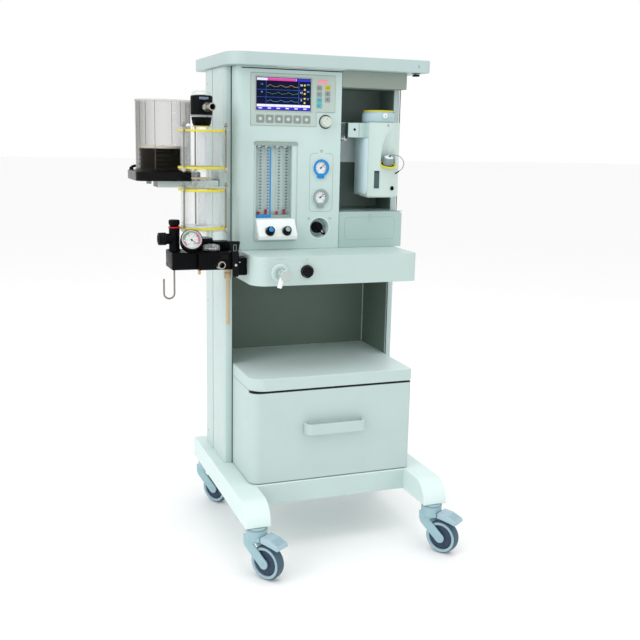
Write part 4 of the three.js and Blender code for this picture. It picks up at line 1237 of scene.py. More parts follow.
def build_dial():
    profile = [(0, 0.3), (48, 0.3), (50.2, 3), (50.3, 25), (48.5, 28), (46, 30), (45, 32)]
    body = profile + [(44, 32.4), (0, 32.4)]
    dial_body = "vaporizer_dial_body"
    piece("dial_skirt", at(lathe(body, 360, 0.5, scallops(60, 0.011, 45, 4, 24)), DIAL_AT), DIAL_BLUE,
          dial_body, "vaporizer_dial")
    crown = [(42, 32.2), (46.4, 32.2), (46.4, 35), (45, 36.6), (42.6, 36.8), (41.5, 35.4)]
    piece("dial_yellow_ring", at(lathe(crown, 96, 0.4, ring=True), DIAL_AT), YELLOW, dial_body)
    cap = [(0, 32.2), (41.8, 32.2), (41.8, 35), (39, 36.4), (0, 36.6)]
    piece("dial_cap", at(lathe(cap, 72, 0.5), DIAL_AT), DIAL_BLUE, dial_body)
    centre = Vector(DIAL_AT)
    figures = []
    for i, text in enumerate(["1", "2", "3", "4", "5"]):
        turn = radians(-90 + 28 + 26 * i)
        way = Vector((cos(turn), sin(turn), 0))
        figures.append(at(lettering(text, 8, 0.3), centre + way * 50.1 + Vector((0, 0, 14)), way))
    piece("dial_figures", figures, INK, dial_body)
    button = lathe([(0, -0.5), (7.5, -0.5), (7.5, 3), (6.6, 3.9), (0, 4.0)], 40, 0.3)
    origin = (200, -68.5, 1294.3)
    piece("lock_button", at(button, origin, FRONT), WHITE, "dial_lock_button_body",
          "dial_lock_button")
    zero = moved(lettering("0", 8, 0.25), 0, 0, 3.9)
    piece("lock_button_mark", at(zero, origin, FRONT), INK, "dial_lock_button_body")
    bezel = ring_shape(7.8, 10, -1.2, 0.9, 0.3)
    piece("lock_bezel", at(bezel, origin, FRONT), PALE, dial_body)
    here, way = on_shell(200, 1267, 0.1)
    arrow = at(slab([(-3.6, -4), (3.6, -4), (0, 3.6)], 0, 0.5, 0.1), here, way)
    piece("dial_index", arrow, MID_GREY)


build_bay()
build_vaporizer()
build_filler()
build_tether()
build_dial()


# ---------------------------------------------------------------- work surface controls

DESK_FACE = -217
OUTLET = (-176, DESK_FACE, 847)
FLUSH = (-96, DESK_FACE, 850)
OUTLET_STEM, OUTLET_END, OUTLET_ARM = 13.0, 15.5, 7.0


def build_outlet():
    body = "selector_lever_body"
    flange = lathe([(0, 0.4), (27, 0.4), (27, 1.6), (24, 4.2), (17, 5), (17, 3.4), (0, 3.4)], 64, 0.6)
    piece("outlet_flange", at(flange, OUTLET, FRONT), PAINT, body, "selector_lever")
    stem = [(0, 3), (OUTLET_STEM, 3), (OUTLET_STEM, 24), (OUTLET_STEM - 1.5, 26), (OUTLET_STEM - 1.5, 45),
            (0, 45)]
    piece("outlet_stem", at(lathe(stem, 48, 0.6), OUTLET, FRONT), SATIN, body)
    end = [(0, 44.5), (14.4, 44.5), (OUTLET_END, 46), (OUTLET_END, 51.5), (OUTLET_END - 1.4, 53), (0, 53)]
    piece("outlet_end", at(lathe(end, 56, 0.5), OUTLET, FRONT), SATIN, body)
    x, y, z = OUTLET
    arm = rod((x - 1, y - 28, z - 2), (x - 11, y - 28, z - 38), OUTLET_ARM, OUTLET_ARM - 0.3, 1.4, 32)
    piece("outlet_arm", arm, WHITE, body)


def build_flush():
    button = lathe([(0, 6.2), (15.1, 6.2), (15.5, 7.5), (15.5, 12.5), (14.1, 14), (8, 13.4), (0, 13)], 64,
                   0.5)
    piece("flush_cap", at(button, FLUSH, FRONT), BLACK_GLOSS, "flush_button_body",
          "flush_button")
    guard = ring_shape(16.1, 18.6, 0.2, 8.2, 0.8, 72)
    piece("flush_guard", at(guard, FLUSH, FRONT), BLACK)
    signs = [ring_sign(FLUSH[0], 884, DESK_FACE, 2.2, 2.8)]
    signs.append(ring_sign(OUTLET[0], 887, DESK_FACE, 2.2, 2.8))
    signs += [plate(OUTLET[0] - 14, OUTLET[0] - 6, 886.6, 887.3, DESK_FACE, 0.2, 0)]
    signs += [plate(OUTLET[0] + 6, OUTLET[0] + 14, 886.6, 887.3, DESK_FACE, 0.2, 0)]
    piece("desk_signs", signs, MID_GREY)


# ---------------------------------------------------------------- cabinet, columns, shelf and back

def build_recess():
    low, high = 536.4, 809.6
    # Dark plates cover the recess's back wall, side walls and ceiling.
    walls = [block(-256.8, 256.8, 189.6, 190.4, low, high, 0)]
    walls += [block(min(a, b), max(a, b), 3, 189.4, low, high, 0) for a,
              b in ((257.2, 258.1), (-257.2, -258.1))]
    piece("recess_dark_plates", walls, RECESS_DARK)
    corners = [tube([(side * 255.6, 188, low), (side * 255.6, 188, high)], 1.5, 10) for side in (-1, 1)]
    piece("recess_corner_beads", corners, PAINT_COLUMN)
    ceiling = slab(rectangle(-250, 250, -160, 186), 809.2, 810.1, 0)
    piece("recess_ceiling", ceiling, RECESS_DARK)


def build_columns():
    # Dark strips paint the shade in the grooves down the columns' sides.
    strips = []
    for side in (-1, 1):
        x0, x1 = sorted((side * 280.9, side * 281.6))
        strips.append(block(x0, x1, 134.2, 139.8, 216, 1422, 0))
    piece("column_tracks", strips, SEAM)
    # Dark strips paint the shadow in the columns' joints with the housing and the recess.
    joints = []
    for side, housing in ((-1, 262), (1, 277)):
        for edge, low, high in ((housing, 894.8, 1422.4), (257, 216, 809)):
            x0, x1 = sorted((side * (edge + 0.4), side * (edge + 2.8)))
            joints.append(block(x0, x1, -6.8, -5.8, low, high, 0))
    piece("column_seams", joints, SEAM)
    covers = []
    for side in (-1, 1):
        way = RIGHT if side > 0 else LEFT
        for z in (260, 700, 1380):
            covers.append(((side * 284, 200, z), way))
    piece("column_screws", screws(covers, 3.2, 1.2), STEEL)


def build_shelf():
    x, y, z = 301, -64, 1420.4
    rocker = slab(rounded([(-11, -7), (11, -7), (11, -1.8), (0, 0), (-11, -1)], [1.5, 1.5, 0.8, 2, 0.8]),
                  -7, 7, 0.8)
    piece("lamp_rocker_cap", at(rocker, (x, y, z), RIGHT, BACK), BLACK_GLOSS, "lamp_switch_body",
          "lamp_switch")
    frame_out, frame_in = rectangle(x - 9.5, x + 9.5, y - 14, y + 14,
                                    2.5), rectangle(x - 7.6, x + 7.6, y - 11.8, y + 11.8, 1.4)
    piece("lamp_rocker_frame", slab(frame_out, 1421.8, 1423.1, 0.4, [frame_in]), BLACK)
    sign = [ring_sign(292, 1441, -101, 2, 2.6, 24)]
    sign += [plate(291.7, 292.3, 1444.4, 1446.4, -101, 0.2, 0),
             plate(291.7, 292.3, 1435.6, 1437.6, -101, 0.2, 0)]
    piece("lamp_sign", sign, INK)
    lamp = slab(rectangle(-150, 60, -92, -76, 5), 1421.6, 1423.2, 0.6)
    piece("work_lamp_lens", lamp, LAMP_LENS)


VENT_ROWS, VENT_STEP = 12, 11


def build_rear():
    face = 226.0
    inset_out, inset_in = rectangle(-228, 228, 260, 1370, 14), rectangle(-226, 226, 262, 1368, 12.5)
    # A dark outline paints the shadow in the rear door's seam.
    piece("rear_door_seam", at(slab(inset_out, 0, 0.4, 0.1, [inset_in]), (0, face, 0), BACK), SEAM)
    places = [((x, face, z), BACK) for x in (-216, 216) for z in (280, 560, 840, 1120, 1350)]
    piece("rear_screws", screws(places, 3.4, 1.2), STEEL)
    vents, rims = [], []
    for bank in (-90, 90):
        for i in range(VENT_ROWS):
            z = 1180 + i * VENT_STEP
            opening = rectangle(bank - 42, bank + 42, z, z + 4, 2)
            rim = rectangle(bank - 43.4, bank + 43.4, z - 1.4, z + 5.4, 3.2)
            vents.append(at(slab(opening, 0, 0.5, 0.1), (0, face, 0), BACK))
            rims.append(at(slab(rim, 0, 0.9, 0.3, [opening]), (0, face, 0), BACK))
    # Dark plates in the vent slots paint the shade inside them.
    piece("rear_vents", vents, SEAM)
    piece("rear_vent_rims", rims, PAINT_BACK)
    build_rear_fittings(face)


def build_rear_fittings(face):
    looks = {-150: WHITE, -100: CODE_BLUE, -50: CODE_GREY}
    for i, (x, look) in enumerate(looks.items()):
        ring = at(ring_shape(9.3, 14, 0, 1.2, 0.3), (x, face, 700), BACK)
        piece(f"inlet_code_ring_{i + 1}", ring, look)
        nut = [at(disc(9.6, 0.5, 8.4, 0.8, 6), (x, face, 700), BACK)]
        grooves = [at(ring_shape(5.6, 6.3, 10 + 2.4 * k, 11.4 + 2.4 * k, 0.2, 32), (x, face, 700), BACK)
                   for k in range(5)]
        piece(f"inlet_fitting_{i + 1}", nut + grooves, BRASS)
    pins = [at(slab(rectangle(-1, 1, -3, 3, 0.3), 0, 8, 0.3), (88 + dx, face + 4.2, 704 + dz), BACK)
            for dx, dz in ((-7, 0), (0, -4), (7, 0))]
    piece("mains_pins", pins, STEEL)
    collar = slab(rectangle(-115, -61, 685, 723, 4), 13.8, 14.6, 0.3, [rectangle(-102, -74, 694, 714, 2)])
    piece("mains_inlet_face", at(collar, (0, face, 0), BACK), BLACK)


build_outlet()
build_flush()
build_recess()
build_columns()
build_shelf()
build_rear()


# ---------------------------------------------------------------- breathing circuit block

RELIEF = (-455.0, -106.0)
CHECK_VALVE = (-356.0, -138.0, 0.0)
DRAIN = (-300.0, -106.0, 0.0)
BLOCK_LOW, BLOCK_TOP = 854.0, 903.0
CANISTER = (-369.0, -80.0, 0.0)
HEAD_PORT_WAY = (0.2, -0.98, 0.0)


def turned_bar(profile, start, direction, sides=48, ease=0.5, wave=None, ring=False):
    return at(lathe(profile, sides, ease, wave, ring), start, direction)


def build_block():
    left = slab(rectangle(-470, -396, -150, -55, 4), BLOCK_LOW, BLOCK_TOP, 2)
    right = slab(rectangle(-398, -281.4, -165, -55, 4), BLOCK_LOW, BLOCK_TOP, 2)
    riser = turned_bar([(0, 900), (31, 900), (31, 930), (28.5, 937), (0, 937)], CANISTER, UP, 64)
    riser_lip = turned_bar([(31, 903), (34, 903), (34, 908), (31, 910)], CANISTER, UP, 64, ring=True)
    seat = turned_bar([(0, 902), (26, 902), (26, 907), (24, 909), (0, 909)], CHECK_VALVE, UP, 64)
    bar = slab(rectangle(-338, -292, -104, -62, 4), 902, 927, 3)
    piece("circuit_body", [left, right, riser, riser_lip, seat, bar], BLACK,
          replaces="circuit_block")
    seam = block(-396.6, -395.6, -150.4, -149.6, 855, 902, 0)
    piece("circuit_joint", seam, RUBBER)
    heads = [((-470, y, z), LEFT) for y in (-142, -64) for z in (862, 895)]
    heads += [((x, y, 903), UP) for x, y in ((-404, -62), (-404, -142))]
    piece("circuit_screws", screws(heads, 2.6, 1.0), BLACK)
    piece("circuit_front_screw", screws([((-296, -165, 872), FRONT)], 2.4, 1.0), STEEL)
    name_plate = plate(-336, -312, 884, 897, -165, 0.3, 0.1, 2)
    piece("circuit_plate", name_plate, BLACK_GLOSS)


def build_relief_valve():
    x, y = RELIEF
    column = [(0, 902), (17.5, 902), (17.5, 908), (15, 910), (15, 928), (14.4, 929), (14.4, 930.5),
              (15, 931.5), (15, 969),
              (0, 970)]
    side = [(0, 0), (15, 0), (15, 22), (17.5, 24), (17.5, 45), (16, 46), (11.4, 46), (11, 44), (11, 26),
            (0, 26)]
    piece("relief_column", [turned_bar(column, (x, y, 0), UP), turned_bar(side, (x, y, 938), LEFT, 56)],
          BLACK)
    ribs = [turned_bar([(17.3, z), (18, z + 0.4), (18, z + 1.6), (17.3, z + 2)], (x, y, 938), LEFT, 56,
                       0.1, ring=True)
            for z in (27, 32, 37)]
    piece("relief_port_ribs", ribs, RUBBER)
    for colour, look, angles in (("red", RED, range(-170, 11, 10)), ("green", GREEN, range(14, 175, 10))):
        mark = at(tube(bow(15.6, angles, 970.4), 1.7, 8), (x, y, 0))
        piece(f"relief_scale_{colour}", mark, look)
    knob = [(0, 972.2), (12.4, 972.2), (12.4, 974), (15.4, 979), (16, 986), (14.4, 991.4), (6, 992),
            (0, 992)]
    piece("relief_knob", turned_bar(knob, (x, y, 0), UP, 96, 0.8, scallops(12, 0.025, 12, 974)), BLACK,
          "apl_knob_body",
          "apl_knob")


def port_shape(start, reach, way):
    """A metal cone and tube, open at its mouth."""
    body = [(0, -1), (14, -1), (14, 2), (13.4, 8), (11.6, 16), (11, 18), (11, reach - 1), (10.4, reach),
            (8, reach),
            (8, 4), (0, 4)]
    return turned_bar(body, start, way, 56, 0.5)


def build_port(name, start, reach, way):
    piece(name, port_shape(start, reach, way), PORT_METAL)
    bore = turned_bar([(7.95, 5), (7.95, reach - 1), (7.3, reach - 1), (7.3, 5)], start, way, 40, 0.1,
                      ring=True)
    piece(f"{name}_bore", bore, RUBBER)


def build_ports():
    build_port("patient_port", (-341, -165, 872), 36, FRONT)
    x, y = HEAD_PORT_WAY[:2]
    build_port("return_port", (CANISTER[0] + 30 * x, CANISTER[1] + 30 * y, 1303), 42, HEAD_PORT_WAY)
    barbs = [(0, 836), (3, 836), (4.4, 839), (3, 839.4), (4.4, 843), (3, 843.4), (4.4, 847), (4, 848),
             (6.4, 848.6),
             (6.4, 855), (0, 855)]
    piece("sample_nipple", turned_bar(barbs, (-387, -120, 0), UP, 32, 0.1), BRASS)
    fitting = [(0, 818), (9.5, 818), (10.5, 820), (10.5, 836), (9.2, 838), (9.2, 842), (10.4, 843),
               (10.4, 855), (0, 855)]
    piece("drain_fitting", turned_bar(fitting, DRAIN, UP, 40, 0.5), TAN)
    pipe = [(0, 683.2), (3.6, 683.2), (3.6, 686), (4.2, 683.2), (5.2, 683.2), (5.5, 684), (5.5, 819),
            (0, 819)]
    piece("drain_pipe", turned_bar(pipe, DRAIN, UP, 32, 0.15), BRONZE)


def build_check_valve():
    dome = [(20.6, 908), (24.6, 908), (24.6, 917), (22, 922), (12, 924.4), (0, 925)]
    inner = [(0, 922.6), (11.6, 922.2), (19.6, 919), (20.6, 916), (20.6, 908)]
    piece("check_valve_dome", turned_bar(dome + inner, CHECK_VALVE, UP, 80, 0.4,
                                         scallops(10, 0.025, 17, 910)), CLEAR)
    flap = [turned_bar([(0, 911), (15, 911), (15, 912.6), (0, 912.6)], CHECK_VALVE, UP, 40, 0.3)]
    places = [(CHECK_VALVE[0] + 17 * cos(a), CHECK_VALVE[1] + 17 * sin(a))
              for a in (radians(60 * k) for k in range(6))]
    cage = [tube([(x, y, 908), (x, y, 918)], 1, 8) for x, y in places]
    piece("check_valve_flap", flap + cage, PALE)


def build_clamp():
    refined("clamp_block", BLACK, 1.8)
    marks = [at(disc(1.8, 0, 0.5, 0.1, 16), (-276, -150, 872), FRONT)]
    piece("clamp_dot", marks, WHITE)
    outline = [(-304, 834), (-286, 834), (-288, 900), (-282, 935), (-315, 936), (-308, 907), (-305, 900)]
    lever = slab(rounded(outline, [4, 4, 6, 2.5, 2.5, 6, 4]), 0, 12.4, 2.2, steps=3)
    piece("clamp_lever_arm", at(lever, (0, -165.4, 0), FRONT), BLACK_GLOSS, "clamp_lever_body",
          "clamp_lever")
    recess = outline_plate(rectangle(-302.5, -293.5, 908, 926, 1.5),
                           rectangle(-301.5, -294.5, 909, 925, 1), -177.7, 0.4)
    piece("clamp_lever_mark", recess, MID_GREY, "clamp_lever_body")
    bolt = at(disc(4.2, 0, 1.6, 0.5, 6), (-295, -177.8, 868), FRONT)
    piece("clamp_lever_bolt", bolt, STEEL, "clamp_lever_body")


def build_bag_hook():
    x, y = RELIEF[0] - 1, RELIEF[1]
    bend, radius = 782, 15
    path = [(x, y, 853.6 - 8 * k) for k in range(9)]
    path += [(x - radius + radius * cos(a), y, bend - radius * sin(a))
             for a in (pi * k / 18 for k in range(19))]
    path += [(x - 2 * radius, y, bend + 8 * k) for k in range(1, 6)]
    tip = turned_bar([(0, -2), (2.4, -2), (2.9, 0), (2.4, 1.8), (0, 2.6)], (x - 2 * radius, y, 822), UP,
                     20, 0.3)
    piece("hook_wire", [tube(path, 2.6, 20), tip], ROD_STEEL, body_of("bag_hook"), "bag_hook")


# ---------------------------------------------------------------- airway pressure gauge

MANOMETER_AT, MANOMETER_WAY = (-418, -163, 940), (-0.08, -0.87, 0.49)


def arc_band(inner, outer, first, last, low, high):
    """Part of a flat ring between two angles in degrees."""
    steps = max(4, round((last - first) / 4))
    turns = [radians(first + (last - first) * i / steps) for i in range(steps + 1)]
    outline = [(outer * cos(a), outer * sin(a)) for a in turns]
    outline += [(inner * cos(a), inner * sin(a)) for a in reversed(turns)]
    return slab(outline, low, high, 0.02)


def build_manometer():
    case = [(0, -26), (27, -26), (30.4, -22), (31, -16), (31, 2.4), (29.6, 4.4), (28.4, 4.4), (27.6, 3),
            (27.4, 0.4),
            (0, 0.3)]
    stand = rod((-413, -143, 903.3), (-413, -143, 926), 7, 7, 0.8, 32)
    piece("manometer_case", [turned_bar(case, MANOMETER_AT, MANOMETER_WAY, 72, 0.6), stand], BLACK_GLOSS,
          replaces="manometer")
    face = [(0, 0.2), (27.3, 0.2), (27.3, 0.5), (0, 0.5)]
    piece("manometer_face", turned_bar(face, MANOMETER_AT, MANOMETER_WAY, 64, 0.05), PALE)
    trim = ring_shape(24.8, 28, 2.6, 4.2, 0.5, 72)
    piece("manometer_trim", at(trim, MANOMETER_AT, MANOMETER_WAY), STEEL)
    arcs = [("green", GREEN, 104, 178), ("beige", BEIGE, 54, 100), ("rose", ROSE, -34, 50),
            ("red", ROSE, 190, 230)]
    for name, look, first, last in arcs:
        band = arc_band(18.6, 22.5, first, last, 0.45, 0.57)
        piece(f"manometer_band_{name}", at(band, MANOMETER_AT, MANOMETER_WAY), look)
    grey = ring_shape(22.6, 24.6, 0.3, 0.7, 0.1, 64)
    piece("manometer_chapter_ring", at(grey, MANOMETER_AT, MANOMETER_WAY), CODE_GREY)
    ticks = tick_ring(18.4, 2.8, 0.8, 240, -60, 11, 0.5) + tick_ring(18.4, 1.6, 0.35, 240, -60, 51, 0.5)
    ticks += dial_figures(12.4, 240, -60, ["-10", "0", "20", "40", "60", "80"], 4.2, 0.5)
    piece("manometer_ticks", at(merged(ticks), MANOMETER_AT, MANOMETER_WAY), INK)
    piece("manometer_lens", at(disc(27.3, 3.0, 3.5, 0.1, 64), MANOMETER_AT, MANOMETER_WAY), LENS)
    refined("manometer_needle", INK, 0.15)


# ---------------------------------------------------------------- absorber canisters

ROD_REACH = 70.0
ROD_ANGLES = (-28, 92, 212)


def rod_places():
    return [(CANISTER[0] + ROD_REACH * cos(radians(a)), CANISTER[1] + ROD_REACH * sin(radians(a)))
            for a in ROD_ANGLES]


def clear_plate(low, high):
    """A round plate with three ears that the rods pass through."""
    outline = []
    for step in range(120):
        angle = 3 * step
        swell = max(cos(radians(angle - a)) for a in ROD_ANGLES)
        ear = max(0.0,
                  (swell - cos(radians(9))) / (1 - cos(radians(9)))) if swell > cos(radians(9)) else 0.0
        reach = 66 + 10 * min(1.0, ear * 1.6)
        outline.append((CANISTER[0] + reach * cos(radians(angle)),
                        CANISTER[1] + reach * sin(radians(angle))))
    return slab(outline, low, high, 1.0, [circle(20, CANISTER[:2], 48)])


def build_canister(name, low, glass_low, glass_high, high, node):
    wall = [(56, glass_low), (60, glass_low), (60, glass_high), (56, glass_high)]
    piece(f"{name}_glass", turned_bar(wall, CANISTER, UP, 96, 0.4, ring=True), CLEAR,
          replaces=node)
    piece(f"{name}_plates", [clear_plate(low, glass_low - 0.1), clear_plate(glass_high + 0.1, high)],
          CLEAR)
    seals = [at(ring_shape(60.4, 67.4, bottom, bottom + 5.8, 1.2, 96), CANISTER)
             for bottom in (glass_low - 4.6, glass_high - 1.2)]
    piece(f"{name}_seals", seals, YELLOW)
    # The centre tube is frosted white, which also paints a highlight streak down the canister.
    liner = [(11.4, glass_low + 2), (13, glass_low + 2), (13, glass_high - 2), (11.4, glass_high - 2)]
    piece(f"{name}_inner_tube", turned_bar(liner, CANISTER, UP, 56, 0.3, ring=True), FROSTED_HIGHLIGHT)


def build_screen_disc():
    rows = []
    spacing = 7.4
    for i in range(-7, 8):
        for j in range(-7, 8):
            x, y = spacing * (i + 0.5 * (j % 2)), spacing * 0.87 * j
            if 23 < sqrt(x * x + y * y) < 52:
                rows.append(circle(2.2, (x, y), 8))
    outer = circle(55, steps=72)
    mesh = slab(outer, 969, 971.2, 0.3, [circle(19.6, steps=40)] + rows, steps=1)
    piece("absorbent_screen", at(mesh, CANISTER), WHITE)


def build_rods():
    bars, nuts, feet = [], [], []
    for x, y in rod_places():
        for low, high in ((954, 1096), (1124, 1261)):
            bars.append(rod((x, y, low), (x, y, high), 2.6, 2.6, 0.5, 20))
            nuts.append(rod((x, y, high - 12.4), (x, y, high - 7), 5.4, 5.4, 0.6, 6))
            nuts.append(rod((x, y, high - 2.4), (x, y, high), 3.6, 3.0, 0.8, 20))
            feet.append(rod((x, y, low + 3), (x, y, low + 13), 6, 5, 1.0, 24))
    piece("clamp_bars", bars, ROD_STEEL)
    piece("clamp_nuts", nuts, ROD_STEEL)
    piece("clamp_feet", feet, TAN)


def build_canisters():
    build_canister("lower", 958.2, 968, 1072, 1084, "canister_lower")
    build_canister("upper", 1128.2, 1138, 1237, 1249, "canister_upper")
    neck = [(20, 1084.4), (31, 1084.4), (31, 1088), (29, 1091), (29, 1121), (31, 1124), (31, 1127.6),
            (20, 1127.6)]
    piece("canister_neck", turned_bar(neck, CANISTER, UP, 72, 0.6, ring=True), CLEAR)
    piece("neck_seal", at(ring_shape(26.6, 29.8, 1104, 1107.4, 0.8, 72), CANISTER), TAN)
    foot = [(20, 937.4), (30, 937.4), (30, 951), (33, 954), (33, 958), (20, 958)]
    piece("canister_foot", turned_bar(foot, CANISTER, UP, 72, 0.6, ring=True), CLEAR)
    plug = [(0, 1249), (7, 1249), (7, 1252), (5, 1256), (0, 1257)]
    piece("plate_plug", turned_bar(plug, (CANISTER[0] - 42, CANISTER[1] - 22, 0), UP, 32, 0.6), WHITE)
    build_screen_disc()
    build_rods()


def build_valve_head():
    collar = [(0, 1249.3), (23, 1249.3), (23.4, 1254), (26, 1258), (29, 1276), (0, 1276)]
    piece("head_collar", turned_bar(collar, CANISTER, UP, 144, 0.4, scallops(24, 0.015, 0, 1255, 1276)),
          BLACK,
          replaces="valve_head")
    piece("head_pale_ring", at(ring_shape(20, 31, 1277.6, 1281.4, 0.8, 72), CANISTER), MID_GREY)
    body = [(0, 1281.6), (30, 1281.6), (31, 1284), (31, 1331), (28.6, 1334.6), (0, 1334.8)]
    cheek = slab(rectangle(-16, 16, -14, 14, 4), 20, 32, 3)
    piece("head_body",
          [turned_bar(body, CANISTER, UP, 72, 1.0), at(cheek, (CANISTER[0], CANISTER[1], 1310), FRONT)],
          BLACK)
    label = arc_band(30.9, 31.4, -115, -65, 1318, 1330)
    piece("head_label", at(label, CANISTER), LABEL_BLUE)
    yellow = ring_shape(21.6, 25.8, 1249.1, 1251.4, 0.8, 64)
    piece("head_seal", at(yellow, CANISTER), YELLOW)
    cap = [(22, 1335), (27, 1335), (27, 1342), (24.6, 1347), (14, 1349.4), (0, 1350)]
    inner = [(0, 1348), (13.4, 1347.6), (21.6, 1345), (22, 1341), (22, 1335)]
    piece("head_dome", turned_bar(cap + inner, CANISTER, UP, 80, 0.4, scallops(10, 0.03, 18, 1336)),
          CLEAR)
    flap = [(0, 1336), (16, 1336), (16, 1337.4), (0, 1337.4)]
    piece("head_flap", turned_bar(flap, CANISTER, UP, 40, 0.3), WHITE)


# ---------------------------------------------------------------- ventilator bellows

BELLOWS = (-445.0, 90.0, 0.0)
TRAY_TOP = 1119.0
DISC_AT = 1185.0
FOLD_COUNT = 5


def build_tray():
    refined("bellows_tray", BLACK_GLOSS, 4.0, 3)
    rim = slab(rectangle(-534, -356, 2, 176, 22), TRAY_TOP - 0.2, TRAY_TOP + 0.25, 0.1,
               [circle(84.5, BELLOWS[:2], 72)])
    piece("tray_top_skin", rim, BLACK)
    fitting = [rod((-528, 168, 1119), (-528, 168, 1128), 7, 5, 1.2, 24),
               rod((-528, 168, 1127), (-514, 168, 1131), 4, 4, 1)]
    piece("tray_fitting", fitting, RUBBER)
    piece("tray_foot", rod((-500, 30, 1093.4), (-500, 30, 1084), 8, 7, 1.0, 24), MID_GREY)
    skin = block(-470, -286, 56, 124, 1071.4, 1072.2, 0.2)
    piece("arm_skin", skin, PAINT_LIGHT)
    sides = [block(-470, -286, y0, y1, 1071.6, 1092.6, 0.2) for y0, y1 in ((54.4, 55.2), (124.8, 125.6))]
    piece("arm_cheeks", sides, PAINT_LIGHT)


def build_dome():
    wall = [(78.2, TRAY_TOP + 0.4), (81, TRAY_TOP + 0.4), (81, 1320), (78.2, 1320)]
    piece("dome_wall", turned_bar(wall, BELLOWS, UP, 120, 0.3, ring=True), SMOKE,
          replaces="bellows_dome")
    lid = [(0, 1320.4), (82, 1320.4), (83, 1321.4), (83, 1324), (81.6, 1325), (0, 1325)]
    piece("dome_lid", turned_bar(lid, BELLOWS, UP, 96, 0.4), SMOKE)
    foot = [(81.1, TRAY_TOP + 0.3), (84.6, TRAY_TOP + 0.3), (84.6, TRAY_TOP + 5), (82.4, TRAY_TOP + 7),
            (81.1, TRAY_TOP + 7)]
    piece("dome_foot_ring", turned_bar(foot, BELLOWS, UP, 96, 0.4, ring=True), SMOKE)
    # Dark lines down the dome are painted shade for the darker edges of its clear wall.
    ribs = []
    for angle in (-158, -118, -62, -22, 20, 60, 120, 160):
        a = radians(angle)
        x, y = BELLOWS[0] + 79.6 * cos(a), BELLOWS[1] + 79.6 * sin(a)
        ribs.append(tube([(x, y, TRAY_TOP + 7), (x, y, 1320)], 0.7, 8))
    piece("dome_edge_shade_lines", ribs, SMOKE_EDGE_SHADE)
    marks = []
    turn = radians(-84)
    way = Vector((cos(turn), sin(turn), 0))
    for i in range(17):
        origin = Vector(BELLOWS) + way * 81.05 + Vector((0, 0, 1196 + 7.5 * i))
        wide = 7 if i % 4 == 0 else 3.6
        marks.append(at(block(-wide / 2, wide / 2, -0.35, 0.35, 0, 0.2, 0), origin, way))
        if i % 4 == 0:
            marks.append(at(moved(lettering(str(i // 4 * 100 + 100), 6, 0.2), 9), origin, way))
    piece("dome_scale", marks, WHITE)


def build_bellows():
    bottom, top = TRAY_TOP + 0.4, DISC_AT - 0.2
    pitch = (top - bottom) / FOLD_COUNT
    outline = [(0, bottom)]
    for i in range(FOLD_COUNT):
        z = bottom + pitch * i
        outline += [(66, z + 0.1), (70.6, z + pitch * 0.24), (72, z + pitch * 0.5),
                    (70.6, z + pitch * 0.76)]
    outline += [(66, top - 0.1), (0, top)]
    shape = at(lathe(outline, 96, 0.5), BELLOWS)
    sleeve = piece_loose("bellows_sleeve", shape, BELLOWS_LOOK, "bellows")
    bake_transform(sleeve)
    plate_shape = [(0, DISC_AT), (72, DISC_AT), (74, DISC_AT + 1.6), (74, DISC_AT + 6),
                   (72.6, DISC_AT + 7.6),
                   (20, DISC_AT + 8), (18, DISC_AT + 6.6), (0, DISC_AT + 6.6)]
    piece("bellows_plate", turned_bar(plate_shape, BELLOWS, UP, 96, 0.5), WARM_WHITE, "bellows_disc_body",
          "bellows_disc")
    dots = [turned_bar([(0, 6.4), (5, 6.4), (5, 8.2), (0, 8.6)], (BELLOWS[0], BELLOWS[1], DISC_AT), UP,
                       24, 0.3)]
    piece("bellows_plate_dot", dots, INK, "bellows_disc_body")


def piece_loose(name, shape, material, replaces):
    obj = piece(name, shape, material, "machine", replaces)
    obj.parent = None
    del obj["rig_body"]
    return obj


build_block()
build_relief_valve()
build_ports()
build_check_valve()
build_clamp()
build_bag_hook()
build_manometer()
build_canisters()
build_valve_head()
build_tray()
build_dome()
build_bellows()


# ---------------------------------------------------------------- casters

CASTER_TURN = 34.0
TRAIL = 42.0
WHEEL_RADIUS = 50.0
CASTERS = [("front_left", -277, -339), ("front_right", 277, -339), ("rear_left", -277, 246),
           ("rear_right", 277, 246)]


def leg_outline():
    eye = 15.0
    lean = atan((104 - WHEEL_RADIUS) / TRAIL)
    start = degrees(lean - pi / 2)
    end = degrees(lean - pi * 1.5)
    outline = [(30, 122), (29, 98), (24, 86), (-TRAIL + eye * sin(lean), WHEEL_RADIUS - eye * cos(lean))]
    outline += arc((-TRAIL, WHEEL_RADIUS), eye, start, end, 14)[1:]
    return outline + [(-6, 100), (-12, 106), (-28, 112), (-28, 122)]


def build_fork(place, spot):
    body = f"caster_{place}"
    outline = leg_outline()
    legs = [at(slab(outline, 17.2, 23, 1.6, steps=3), (0, 0, 0), RIGHT, BACK),
            at(slab(outline, -23, -17.2, 1.6, steps=3), (0, 0, 0), RIGHT, BACK)]
    housing = [(0, 106), (24, 106), (31, 110), (31, 136), (29, 140), (29, 147.2), (0, 147.2)]
    axle = rod((-22.6, -TRAIL, WHEEL_RADIUS), (22.6, -TRAIL, WHEEL_RADIUS), 5, 5, 0.8)
    shapes = [placed(s, spot) for s in legs + [lathe(housing, 64, 2.0)]]
    piece(f"fork_{place}", shapes, CASTER, body, f"caster_fork_{place}")
    collar = ring_shape(29.2, 31.4, 141, 143.4, 0.6, 64)
    piece(f"fork_collar_{place}", placed(collar, spot), MID_GREY, body)
    caps = [at(disc(6, 0, 0.6, 0.3, 32), (side * 23, -TRAIL, WHEEL_RADIUS), (side, 0, 0))
            for side in (-1, 1)]
    piece(f"axle_caps_{place}", [placed(s, spot) for s in caps], CASTER_RIM, body)
    piece(f"axle_{place}", placed(axle, spot), STEEL, body)


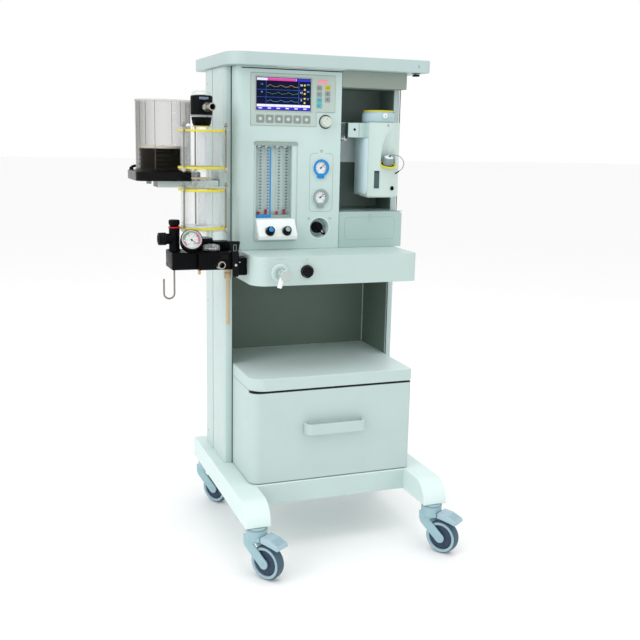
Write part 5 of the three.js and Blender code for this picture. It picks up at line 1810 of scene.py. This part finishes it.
def build_wheel(place, spot):
    body = f"wheel_{place}"
    centre = (0, -TRAIL, WHEEL_RADIUS)
    tread = [(40, -14), (45, -15), (47.5, -14.5), (49.6, -9), (50, 0), (49.6, 9), (47.5, 14.5), (45, 15),
             (40, 14)]
    tyre = at(lathe(tread, 96, 1.2, ring=True), centre, RIGHT)
    piece(f"tyre_{place}", placed(tyre, spot), TYRE, body, f"caster_wheel_{place}")
    rims, hubs, spokes = [], [], []
    for side in (-1, 1):
        way = (side, 0, 0)
        rim = [(37.5, 10), (46.6, 10), (46.6, 14.4), (44.6, 16.2), (40.4, 16.4), (38, 15), (37.5, 12.6)]
        rims.append(at(lathe(rim, 96, 0.5, ring=True), centre, way))
        hub = [(5.3, 6), (37.3, 6), (37.3, 11), (33, 12.6), (14, 13.4), (12, 15.6), (5.3, 15.8)]
        hubs.append(at(lathe(hub, 72, 0.8, ring=True), centre, way))
        for k in range(6):
            bar = placed(block(14, 33, -1.1, 1.1, 11.4, 13.6, 0.5),
                         Matrix.Rotation(radians(60 * k), 4, "Z"))
            spokes.append(at(bar, centre, way))
    piece(f"rim_{place}", [placed(s, spot) for s in rims], CASTER_RIM, body)
    piece(f"hub_{place}", [placed(s, spot) for s in hubs], HUB, body)
    piece(f"hub_ribs_{place}", [placed(s, spot) for s in spokes], HUB, body)


def build_pedal(side, spot):
    body = f"pedal_{side}"
    profile = [(-33, 111), (-33, 129), (-62, 127), (-92, 115), (-97, 107), (-93, 101), (-70, 106),
               (-45, 110)]
    tread = at(slab(rounded(profile, [2, 3, 24, 8, 4, 3, 12, 6]), -24, 24, 2.4, steps=3), (0, 0, 0),
               RIGHT, BACK)
    piece(f"pedal_shell_{side}", placed(tread, spot), PEDAL, body,
          f"brake_pedal_{side}")
    ribs = []
    for k in range(5):
        share = k / 4
        y, z = -68 - 20 * share, 124.9 - 7.6 * share
        ribs.append(tube([(-18, y, z), (18, y, z)], 0.9, 8))
    piece(f"pedal_ribs_{side}", [placed(s, spot) for s in ribs], CASTER, body)
    line = tube([(-22, -56, 127.3), (22, -56, 127.3)], 0.6, 6)
    piece(f"pedal_seam_{side}", placed(line, spot), CASTER, body)


def build_casters():
    for place, x, y in CASTERS:
        spot = Matrix.Translation((x, y, 0)) @ Matrix.Rotation(radians(CASTER_TURN), 4, "Z")
        build_fork(place, spot)
        build_wheel(place, spot)
        if place.startswith("front"):
            build_pedal(place.removeprefix("front_"), spot)


build_casters()
